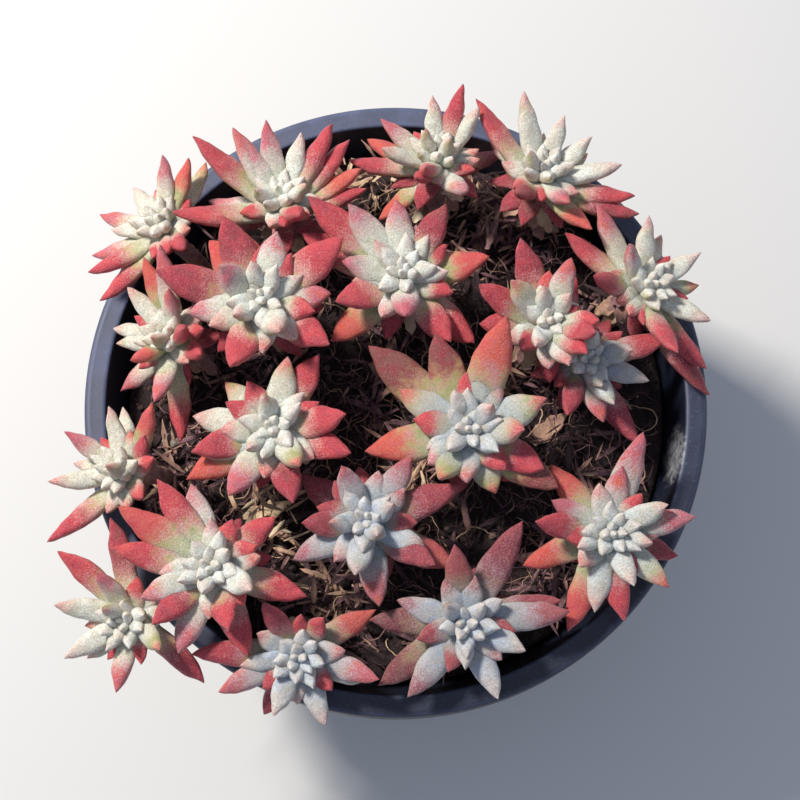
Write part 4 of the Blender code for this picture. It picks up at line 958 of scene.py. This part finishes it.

# The colouring of each leaf, one letter a leaf in the order of the whorls above: how powdery it is,
# where along it the red begins, and where its red lies from crimson to purple. The letter d is a dull
# brown-red, the leaf's own dull colour with painted shade, on leaves of the shaded rosettes.
LEAF_LETTERS = {
    "c": (0.24, 0.30, 0.24), "r": (0.32, 0.36, 0.38), "o": (0.26, 0.44, 0.62), "k": (0.58, 0.44, 0.82),
    "w": (0.88, 0.72, 0.72), "g": (0.68, 0.8, 0.5), "p": (0.72, 0.5, 0.9), "b": (0.92, 0.80, 0.85),
    "y": (0.66, 0.8, 0.6), "d": (0.2, 0.5, 0.06)}
WHORL_LETTERS = (
    ("krrky", "wwkor", ""), ("rrkror", "kkwrr", "pww"), ("rocpor", "kwwrwk", "ww"),
    ("rkrcoc", "wwwgwk", "ww"), ("krrrcc", "wwwgwp", ""), ("crrrrr", "gkc", "www"),
    ("cckr", "bbb", "bb"), ("rrrorro", "ppcpk", "www"), ("cocrrro", "ppkpw", "www"),
    ("korkkr", "wwwokr", "w"), ("wgorkcrrr", "gwg", "www"), ("ddodroy", "gggyg", "bww"),
    ("rorw", "kwww", "w"), ("rorrrcpr", "pkwr", "p"), ("crkoccr", "pbwkp", "wbb"),
    ("koroocr", "kkkwgww", "ww"), ("ccr", "wwwkgk", "w"), ("rcrokc", "kbbb", "w"),
    ("ddcor", "ppbbk", "bbb"))
FILL_LOOKS = ((0.8, 0.62, 0.6), (0.5, 0.46, 0.45))
OLD_LOOK = (0.22, 0.12, 0.2)
YOUNG_LOOK = (1.08, 0.84, 0.85)
BUD_LOOK = (1.3, 0.98, 0.8)
# From creamy, below nought, to blue-white, above it: the chalk's cream tint on each rosette, and above
# nought a blue-grey painted shade, the sky's light on the rosettes that lie in shadow.
CHALK_CREAM_AND_SHADE = (-0.6, -0.1, -0.3, -0.1, -0.2, 0.1, 0.9, 0.1, -0.1, -0.6, 0.0, 0.75, -0.6, 0.1, 0.95, 0.4,
              -0.2, 0.9, 1.0)


def lumps(points, size, depth):
    """Small shifts of the points that make a surface uneven, in swells of this size."""
    turns = points / size
    x, y, z = turns[:, 0], turns[:, 1], turns[:, 2]
    swell = np.sin((1.9 * y + 2.3 * z + 1, 2.1 * z + 1.7 * x + 2, 2.2 * x + 1.8 * y))
    ripple = np.sin((4.1 * z - 3.3 * y, 3.7 * x - 4.3 * z + 1, 4.5 * y - 3.1 * x + 2))
    return depth * (swell + 0.5 * ripple).T


def fleshy(leaf, dice):
    """A live leaf: plump, a little dished at its base, keeled below, with a short, sharp tip."""
    phase = dice.uniform(0, ANY_TURN)
    small = (leaf.tip - leaf.root).length < INNER[0]
    arch = ARCH - (SHARPER if small else 0.0)

    def section(angle):
        side = np.sign(np.cos(angle)) * np.abs(np.cos(angle)) ** 0.85
        high = np.abs(np.sin(angle))
        return side, np.where(np.sin(angle) > 0, 1.15 * ABOVE * high ** 0.9, -1.05 * BELOW * high)

    def outline(t):
        rise = CLASP + (1 - CLASP) * np.sin(np.clip(t / WIDEST, 0, 1) * math.pi / 2)
        wide = np.where(t < WIDEST, rise, 1 - np.clip((t - WIDEST) / (1 - WIDEST), 0, 1) ** arch)
        return wide * (1 + 0.03 * np.sin(t * 11 + phase)), wide ** 0.7

    share = np.linspace(0, 1, LEAF_RINGS + 1)[1:]
    stations = 0.01 + 0.986 * (1 - (1 - share) ** 1.7)
    stations[-1] = 0.997
    points, faces, place = blade(leaf, LEAF_SIDES, stations, section, outline)
    # The dish: the upper face sinks between its edges, most near the root.
    length, side, face = place.T
    sink = np.clip(face, 0, 1) * (1 - side ** 2) * np.clip(0.5 - 0.8 * length, 0, 1)
    sink[length <= 0] = 0
    sink[-1] = 0
    points -= np.array(leaf.axis) * (sink * leaf.half_thickness)[:, None]
    return points + lumps(points, LUMP_SIZE, LUMP_DEPTH), faces, place


def chalky_leaf():
    """Succulent leaf skin, IOR 1.45, under white epicuticular wax: matt where it is chalky, satin and
    saturated where the wax is rubbed thin, with fine white specks of it left on the red."""
    made, tree, shader = new_finish("waxy_leaf_skin")
    where = add_node(tree, "TexCoord")["Object"]
    place = add_node(tree, "Attribute", attribute_name="leaf_place")["Vector"]
    length, side, face = add_node(tree, "SeparateXYZ", {0: place})
    look = add_node(tree, "Attribute", attribute_name="leaf_look")["Vector"]
    powder, red_from, hue = add_node(tree, "SeparateXYZ", {0: look})
    # The rosette's value: its chalk's cream tint below nought, and its painted shade above it.
    cast = add_node(tree, "Attribute", attribute_name="chalk_cast")["Fac"]
    patches = add_node(tree, "TexNoise", {
        "Vector": where, "Scale": 1 / (3 * MM), "Detail": 4.0, "Roughness": 0.6})[0]
    # Grains of the wax are a few thousandths of a millimetre. They show as clusters, drawn coarser.
    specks = add_node(tree, "TexNoise", {
        "Vector": where, "Scale": 1 / (0.3 * MM), "Detail": 3.0, "Roughness": 0.65})[0]
    grains = add_node(tree, "TexNoise", {
        "Vector": where, "Scale": 1 / (0.45 * MM), "Detail": 3.0, "Roughness": 0.8})[0]
    # The flesh: yellow-green where it is young and shaded, red from some way along to the tip.
    drift = add_node(tree, "MapRange", {0: patches, 1: 0.3, 2: 0.7, 3: -0.14, 4: 0.14})[0]
    below = add_node(tree, "MapRange", {0: face, 1: -0.6, 2: 0.0, 3: -0.16, 4: 0.0})[0]
    reach = add_node(tree, "Math", {0: length, 1: red_from}, operation="SUBTRACT")[0]
    for shift in (drift, below):
        reach = add_node(tree, "Math", {0: reach, 1: shift}, operation="ADD")[0]
    redness = add_node(tree, "MapRange", {
        0: reach, 1: -0.1, 2: 0.24, 3: 0.0, 4: 1.0}, interpolation_type="SMOOTHSTEP")[0]
    hue = add_node(tree, "Math", {0: hue, 1: drift}, operation="ADD")[0]
    red = add_node(tree, "ValToRGB", {0: hue}, stops=(
        (0.02, "#823E34"), (0.2, "#A01A36"), (0.36, "#BE2C40"), (0.52, "#CE4046"), (0.68, "#D05640"),
        (0.84, "#C65C6E"), (1.0, "#A8646E")))[0]
    flesh = add_node(tree, "Mix", {
        0: patches, 6: linear("#84904F"), 7: linear("#C6C07E")}, data_type="RGBA")[2]
    turning = add_node(tree, "MapRange", {0: redness, 1: 0.0, 2: 0.45, 3: 0.0, 4: 0.75})[0]
    turned_red = add_node(tree, "MapRange", {0: redness, 1: 0.3, 2: 1.0, 3: 0.0, 4: 1.0})[0]
    # On the most shaded rosettes bare flesh is painted darker, a dusky plum: painted shade. On all, the
    # last of the tip dries dark, and a frost of wax specks stays on the red.
    painted_dusk_shade = add_node(tree, "MapRange", {0: cast, 1: 0.86, 2: 1.0, 3: 0.0, 4: 0.55})[0]
    end = add_node(tree, "MapRange", {
        0: length, 1: 0.92, 2: 1.0, 3: 0.0, 4: 0.55}, interpolation_type="SMOOTHSTEP")[0]
    frost = add_node(tree, "MapRange", {0: specks, 1: 0.46, 2: 0.72, 3: 0.0, 4: 0.3})[0]
    for share, colour in ((turning, linear("#CC9468")), (turned_red, red), (painted_dusk_shade, linear("#6E4048")),
                          (end, linear("#8E2C34")), (frost, linear("#EFC6C2"))):
        flesh = add_node(tree, "Mix", {0: share, 6: flesh, 7: colour}, data_type="RGBA")[2]
    # The wax: thick at the base and on the upper face, thinning along the leaf in drifts.
    speck = add_node(tree, "MapRange", {0: specks, 1: 0.3, 2: 0.7, 3: -0.5, 4: 0.5})[0]
    cover = add_node(tree, "Math", {0: powder, 1: 1.1}, operation="MULTIPLY")[0]
    base = add_node(tree, "MapRange", {
        0: length, 1: 0.1, 2: 0.5, 3: 0.34, 4: 0.0}, interpolation_type="SMOOTHSTEP")[0]
    cover = add_node(tree, "Math", {0: cover, 1: base}, operation="ADD")[0]
    bare = add_node(tree, "MapRange", {
        0: length, 1: 0.48, 2: 0.95, 3: 0.0, 4: -0.72}, interpolation_type="SMOOTHSTEP")[0]
    keeps = add_node(tree, "MapRange", {0: powder, 1: 0.4, 2: 0.95, 3: 1.0, 4: 0.55})[0]
    cover = add_node(tree, "Math", {0: bare, 1: keeps, 2: cover}, operation="MULTIPLY_ADD")[0]
    above = add_node(tree, "MapRange", {0: face, 1: -0.5, 2: 0.1, 3: 0.6, 4: 1.0})[0]
    cover = add_node(tree, "Math", {0: cover, 1: above}, operation="MULTIPLY")[0]
    cover = add_node(tree, "Math", {0: drift, 1: 1.4, 2: cover}, operation="MULTIPLY_ADD")[0]
    chalk = add_node(tree, "Math", {0: speck, 1: 0.46, 2: cover}, operation="MULTIPLY_ADD")[0]
    chalk = add_node(tree, "MapRange", {
        0: chalk, 1: 0.08, 2: 0.9, 3: 0.03, 4: 0.97}, interpolation_type="SMOOTHSTEP")[0]
    # Its white leans to cream below nought. Above nought it takes a blue-grey painted shade, strongest
    # from the heart out to the middle of each leaf.
    cream = add_node(tree, "MapRange", {0: cast, 1: 0.0, 2: -1.0, 3: 0.0, 4: 1.0})[0]
    blue_shade = add_node(tree, "MapRange", {0: length, 1: 0.4, 2: 1.0, 3: 1.0, 4: 0.25})[0]
    blue_shade = add_node(tree, "Math", {0: blue_shade, 1: cast}, operation="MULTIPLY")[0]
    blue_shade = add_node(tree, "MapRange", {0: blue_shade, 1: 0.0, 2: 1.0, 3: 0.0, 4: 1.0})[0]
    # Green flesh and, further out, red flesh tint the wax wherever it lies thin.
    thin = add_node(tree, "MapRange", {0: patches, 1: 0.4, 2: 0.62, 3: 0.0, 4: 0.5})[0]
    tint = add_node(tree, "Mix", {
        0: length, 6: linear("#B4C08C"), 7: linear("#DEB4A4")}, data_type="RGBA")[2]
    # Its surface is rough: in the pits between its grains a grey-green shows, the flesh through the wax
    # with painted shade in the pits.
    pit_flesh_and_shade = add_node(tree, "MapRange", {0: grains, 1: 0.38, 2: 0.62, 3: 0.56, 4: 0.0})[0]
    white = linear("#FDFFF8")
    for share, colour in ((cream, linear("#FDF7E6")), (blue_shade, linear("#B3C1DE")), (thin, tint),
                          (pit_flesh_and_shade, linear("#8E988E"))):
        white = add_node(tree, "Mix", {0: share, 6: white, 7: colour}, data_type="RGBA")[2]
    skin_colour = add_node(tree, "Mix", {0: chalk, 6: flesh, 7: white}, data_type="RGBA")[2]
    # A leaf's two edges keep a pale line of wax.
    rim = add_node(tree, "Math", {0: side}, operation="ABSOLUTE")[0]
    rim = add_node(tree, "MapRange", {
        0: rim, 1: 0.85, 2: 1.0, 3: 0.0, 4: 0.22}, interpolation_type="SMOOTHSTEP")[0]
    rim = add_node(tree, "Math", {0: rim, 1: powder}, operation="MULTIPLY")[0]
    skin_colour = add_node(tree, "Mix", {
        0: rim, 6: skin_colour, 7: linear("#E6E2D2")}, data_type="RGBA")[2]
    rough = add_node(tree, "MapRange", {0: chalk, 1: 0.0, 2: 0.8, 3: 0.32, 4: 0.9})[0]
    bump = add_node(tree, "Bump", {"Strength": 1.0, "Distance": 0.5 * MM, "Height": grains})[0]
    bump = add_node(tree, "Bump", {
        "Strength": 0.4, "Distance": 0.4 * MM, "Height": patches, "Normal": bump})[0]
    set_inputs(tree, shader, {
        "Base Color": skin_colour, "Roughness": rough, "Normal": bump, "IOR": 1.45,
        "Subsurface Weight": 0.35, "Subsurface Scale": 2 * MM, "Subsurface Radius": (1.0, 0.75, 0.6)})
    return made


def core_outline(t):
    """The core's width along it: a blunt cone, rounded off at the top."""
    width = np.sqrt(1 - (1.9 * t - 0.85) ** 2 * 0.85) * (1 - 0.5 * t)
    return width, width


def looks_of(index, leaves):
    """The look of each leaf: as read for the whorls, then filling, old, young and bud leaves."""
    looks = [LEAF_LETTERS[letter] for letter in "".join(WHORL_LETTERS[index])]
    looks += [FILL_LOOKS[number % 2] for number in range(FILL_LEAVES)]
    young = YOUNG_LEAVES - len(WHORL_LETTERS[index][2])
    old = len(leaves) - len(looks) - young - BUD_LEAVES
    return looks + [OLD_LOOK] * old + [YOUNG_LOOK] * young + [BUD_LOOK] * BUD_LEAVES


wax = chalky_leaf()
for index, (centre, axis, leaves) in enumerate(plants):
    dice = random.Random(300 + index)
    heap = Heap()
    for leaf, (powder, red_from, hue) in zip(leaves, looks_of(index, leaves)):
        if not hangs_free(leaf):
            continue
        points, faces, place = fleshy(leaf, dice)
        look = (powder * dice.uniform(0.94, 1.06), red_from + dice.uniform(-0.05, 0.05),
                hue + dice.uniform(-0.06, 0.06))
        heap.add(points, faces, leaf_place=place, leaf_look=look, chalk_cast=CHALK_CREAM_AND_SHADE[index])
    core = Leaf(index, centre - axis * CORE_DROP, centre + axis * (HEART + 0.5 * MM),
                axis.orthogonal().normalized(), CORE_RADIUS, CORE_RADIUS, 0.0)
    points, faces, place = blade(core, CORE_SIDES, np.linspace(0.02, 0.96, CORE_RINGS),
                                 lambda angle: (np.cos(angle), np.sin(angle)), core_outline)
    heap.add(points, faces, leaf_place=place * (0, 0, 1), leaf_look=YOUNG_LOOK,
             chalk_cast=CHALK_CREAM_AND_SHADE[index])
    as_piece(f"leaf_rosette_{index + 1:02d}", heap, wax, "powdered_leaf", f"rosette_{index + 1:02d}")


# The litter: leaves that the plants have shed, a dry twig and two bits of stone, which lie loose on
# the soil between the stems, with thin curled scraps and root fibres.

# On the soil, in millimetres: the middle of each shed leaf, its heading in degrees and its length;
# the middle of each stone and its radius; and the two ends of the twig.
SHED_LEAVES = ((-31, -25, 20, 13), (21, 41, 75, 14), (-2, 9, 150, 12), (38, -4, 40, 12))
STONES = ((10, -62, 2.6), (-55, -8, 2.2))
TWIG = ((-21, -33), (-13, -52))
TWIG_RADIUS = 0.9 * MM
TWIG_BEND = 1.0                       # how far it bends to the side, in millimetres too
TWIG_POINTS = 24
TWIG_SIDES = 12
STONE_LEVELS = 14
STONE_SIDES = 20
STONE_FLATNESS = 0.7
SLIM = 0.95                           # the twig and the stones, beside their solids
SHED_TONES = (0.4, 0.12, 0.3, 0.2)
SHED_HALF_WIDTH = 2.6 * MM
SHED_HALF_THICKNESS = 0.6 * MM
PRESSED = 0.1 * MM                    # how far shed leaves and the twig are pressed into the soil
SCRAPS = 1500
SCRAP_FACES = (6, 6)                  # sides and rings of a scrap, few because there are so many
SCRAP_HALF_THICKNESS = 0.3 * MM
SCRAP_CURLS = (-1.5, 2.5)
SCRAP_TONES = (-0.2, -0.16, -0.12, -0.08, -0.04, 0.0, 0.06, 0.16)
LITTER_REACH = 62 * MM                # litter starts inside this radius,
LITTER_EDGE = 64 * MM                 # and none of it passes this one
STRAW = (-31 * MM, -27 * MM)          # near this place the scraps are bleached to straw
STRAW_REACH = 9 * MM
STRAW_TONE = 0.3
# Tangles of dry leaves and roots between the stems: (x, y, radius, height over the soil) in
# millimetres, and how pale they are.
TANGLES = ((20, 41, 8, 14, 0.1), (28, 47, 7, 12, 0.0), (-31, -27, 8, 9, 0.34),
           (-14, -46, 7, 10, 0.16), (25, 7, 5, 9, 0.12), (47, -19, 6, 8, 0.1), (-55, -21, 5, 8, 0.16),
           (-8, 56, 7, 11, 0.26), (-4, 5, 9, 9, -0.02), (4, -18, 5, 8, 0.2), (36, -46, 6, 7, -0.04),
           (22, 53, 6, 12, 0.2))
TANGLE_STRANDS = 34
TANGLE_TONES = (-0.1, -0.05, 0.0, 0.06, 0.14)
FIBRES = 760
FIBRE_SIDES = 4
FIBRE_STEP = 1.1 * MM
FIBRE_TONES = (-0.1, 0.0, 0.05, 0.15, 0.3)


def resting(points, lift):
    """The points lowered or raised until the lowest is just over the soil."""
    drop = min(point[2] - soil_height(point[0], point[1]) for point in points)
    points[:, 2] += lift - drop
    return points


def strand(line, radius, sides):
    """The skin of a thin strand along these points."""
    line = np.array(line)
    forward = np.gradient(line, axis=0)
    forward /= np.linalg.norm(forward, axis=1)[:, None]
    right = np.cross(forward, (0.1, 0.2, 1.0))
    right /= np.linalg.norm(right, axis=1)[:, None]
    ahead = np.cross(right, forward)
    angle = (np.arange(sides) * FULL_TURN / sides)[None, :, None]
    rings = line[:, None] + radius * (right[:, None] * np.cos(angle) + ahead[:, None] * np.sin(angle))
    return skin(rings, line[0], line[-1])


for number, (x, y, turn, length) in enumerate(SHED_LEAVES, 1):
    dice = random.Random(500 + number)
    way = Vector((math.cos(math.radians(turn)), math.sin(math.radians(turn)), 0))
    middle = Vector((x * MM, y * MM, SOIL_TOP + 1 * MM))
    half = way * (length * MM / 2)
    leaf = Leaf(-1, middle - half, middle + half + Vector((0, 0, 1 * MM)), Vector((0, 0, 1)),
                SHED_HALF_WIDTH, SHED_HALF_THICKNESS, 0.05)
    points, faces, _ = papery(leaf, dice, 1.3)
    heap = Heap()
    heap.add(resting(points, -PRESSED), faces, dry_tone=SHED_TONES[number - 1])
    as_piece(f"fallen_leaf_{number}", heap, dead, "dry_stem", f"shed_leaf_{number}")


def mineral():
    """Crushed pumice and granite grit: grey-brown, rough and pitted."""
    made, tree, shader = new_finish("rough_grit_stone")
    where = add_node(tree, "TexCoord")["Object"]
    pits = add_node(tree, "TexNoise", {
        "Vector": where, "Scale": 1 / (0.9 * MM), "Detail": 6.0, "Roughness": 0.7})[0]
    colour = add_node(tree, "ValToRGB", {0: pits}, stops=(
        (0.3, "#4B453F"), (0.5, "#8B8176"), (0.7, "#B9B1A4")))[0]
    bump = add_node(tree, "Bump", {"Strength": 0.7, "Distance": 0.2 * MM, "Height": pits})[0]
    set_inputs(tree, shader, {"Base Color": colour, "Roughness": 0.85, "Normal": bump})
    return made


rock = mineral()
for number, (x, y, radius) in enumerate(STONES, 1):
    level = np.linspace(0, math.pi, STONE_LEVELS)[1:-1]
    turn = np.arange(STONE_SIDES) * FULL_TURN / STONE_SIDES
    rings = np.zeros((len(level), len(turn), 3))
    rings[..., 0] = np.sin(level)[:, None] * np.cos(turn)
    rings[..., 1] = np.sin(level)[:, None] * np.sin(turn)
    rings[..., 2] = STONE_FLATNESS * np.cos(level)[:, None]
    points, faces = skin(rings, (0, 0, STONE_FLATNESS), (0, 0, -STONE_FLATNESS))
    shift = Vector((number, 0, 0))
    rough = np.array([1 + 0.35 * noise.noise(Vector(point) * 1.6 + shift) for point in points])
    points = points * (rough * radius * MM * SLIM)[:, None] + (x * MM, y * MM, SOIL_TOP)
    heap = Heap()
    heap.add(resting(points, -2 * PRESSED), faces)
    as_piece(f"grit_stone_{number}", heap, rock, "grit_stone", f"stone_{number}")

line = []
for step in np.linspace(0, 1, TWIG_POINTS):
    x = TWIG[0][0] + (TWIG[1][0] - TWIG[0][0]) * step + math.sin(step * math.pi) * TWIG_BEND
    y = TWIG[0][1] + (TWIG[1][1] - TWIG[0][1]) * step
    line.append((x * MM, y * MM, SOIL_TOP + step * MM))
points, faces = strand(line, TWIG_RADIUS * SLIM, TWIG_SIDES)
knobs = np.array([noise.noise_vector(Vector(point) / (1.3 * MM)) for point in points])
heap = Heap()
heap.add(resting(points + knobs * 0.12 * MM, -PRESSED), faces, dry_tone=0.22)
as_piece("dry_twig", heap, dead, "dry_stem", "twig")


def scrap(root, way, size, widths, bows):
    """A torn strip of dead leaf, curled as it dried: its points and faces."""
    leaf = Leaf(-1, root, root + way * size, Vector((0, 0, 1)), size * dice.uniform(*widths),
                SCRAP_HALF_THICKNESS, dice.uniform(*bows))
    return papery(leaf, dice, dice.uniform(*SCRAP_CURLS), *SCRAP_FACES)[:2]


dice = random.Random(77)
heap = Heap()
for number in range(SCRAPS):
    if number % 3:
        foot = feet[dice.randrange(len(feet))]
        turn, reach = dice.uniform(0, ANY_TURN), dice.uniform(2.5, 9) * MM
        x, y = foot.x + reach * math.cos(turn), foot.y + reach * math.sin(turn)
    else:
        reach, turn = LITTER_REACH * math.sqrt(dice.random()), dice.uniform(0, ANY_TURN)
        x, y = reach * math.cos(turn), reach * math.sin(turn)
    if math.hypot(x, y) > LITTER_EDGE - 1 * MM:
        continue
    turn = dice.uniform(0, ANY_TURN)
    way = Vector((math.cos(turn), math.sin(turn), dice.uniform(-0.2, 0.5)))
    root = Vector((x, y, SOIL_TOP + 1 * MM))
    points, faces = scrap(root, way, dice.uniform(3, 10) * MM, (0.04, 0.11), (-0.45, 0.3))
    straw = STRAW_TONE if math.hypot(x - STRAW[0], y - STRAW[1]) < STRAW_REACH else 0.0
    heap.add(resting(points, dice.random() ** 3 * 7 * MM), faces,
             dry_tone=straw + dice.choice(SCRAP_TONES))
for x, y, radius, height, pale in TANGLES:
    for _ in range(TANGLE_STRANDS):
        turn, reach = dice.uniform(0, ANY_TURN), radius * MM * math.sqrt(dice.random())
        root = Vector((x * MM + reach * math.cos(turn), y * MM + reach * math.sin(turn), SOIL_TOP))
        turn, size = dice.uniform(0, ANY_TURN), dice.uniform(3, 8) * MM
        way = Vector((math.cos(turn), math.sin(turn), dice.uniform(-0.4, 0.6)))
        points, faces = scrap(root, way, size, (0.04, 0.13), (-0.6, 0.5))
        heap.add(resting(points, height * MM * dice.random()), faces,
                 dry_tone=pale + dice.choice(TANGLE_TONES))
as_piece("dry_scraps", heap, dead, "dry_stem")

heap = Heap()
for number in range(FIBRES):
    reach, turn = LITTER_REACH * math.sqrt(dice.random()), dice.uniform(0, ANY_TURN)
    x, y = reach * math.cos(turn), reach * math.sin(turn)
    heading = dice.uniform(0, ANY_TURN)
    line = []
    arch = dice.uniform(0.5, 7) * MM
    length = dice.randrange(7, 18)
    for step in range(length):
        heading += dice.uniform(-0.6, 0.9)
        x += FIBRE_STEP * math.cos(heading)
        y += FIBRE_STEP * math.sin(heading)
        inward = max(1.0, math.hypot(x, y) / LITTER_EDGE)
        x, y = x / inward, y / inward
        line.append((x, y, soil_height(x, y) + arch * math.sin(step / (length - 1) * math.pi)))
    points, faces = strand(line, dice.uniform(0.06, 0.2) * MM, FIBRE_SIDES)
    heap.add(points, faces, dry_tone=dice.choice(FIBRE_TONES))
as_piece("root_fibres", heap, dead, "dry_stem")


# The stage: a floor of pale paper, one small soft lamp, high up at the back left, and a pale sky. The
# camera looks down from the front, from the eye of the clump's plan.

FLOOR_SIZE = 3.0
KEY_PLACE = Vector((-0.4, 0.3, 0.7))
KEY_SIZE = 0.12
KEY_POWER = 8.6
SKY_STRENGTH = 0.54
LENS = 78.76                          # with the two shifts, it frames the pot as the photo does
SHIFT = (0.0053, 0.001)

bpy.ops.mesh.primitive_plane_add(size=FLOOR_SIZE)
floor = bpy.context.object
floor.name = "floor"
paper, tree, shader = new_finish("pale_paper")
set_inputs(tree, shader, {"Base Color": linear("#D9D9D6"), "Roughness": 0.9})
floor.data.materials.append(paper)

light = bpy.data.lights.new("key_lamp", "AREA")
light.size = KEY_SIZE
light.energy = KEY_POWER
light.color = linear("#FFF8F0")[:3]
lamp = bpy.data.objects.new("key_lamp", light)
lamp.location = KEY_PLACE
lamp.rotation_euler = (Vector((0, 0, RIM_TOP)) - KEY_PLACE).to_track_quat("-Z", "Y").to_euler()
bpy.context.scene.collection.objects.link(lamp)

world = bpy.data.worlds.new("studio")
bpy.context.scene.world = world
world.use_nodes = True
world.node_tree.nodes["Background"].inputs[0].default_value = linear("#C9D4EC")
world.node_tree.nodes["Background"].inputs[1].default_value = SKY_STRENGTH
bpy.context.scene.view_settings.view_transform = "Standard"

camera = bpy.data.objects.new("camera", bpy.data.cameras.new("camera"))
camera.location = EYE
camera.rotation_euler = (math.pi / 2 - EYE_ELEVATION, 0, 0)
camera.data.lens = LENS
camera.data.shift_x, camera.data.shift_y = SHIFT
camera.data.clip_start = 10 * MM
bpy.context.scene.collection.objects.link(camera)
bpy.context.scene.camera = camera
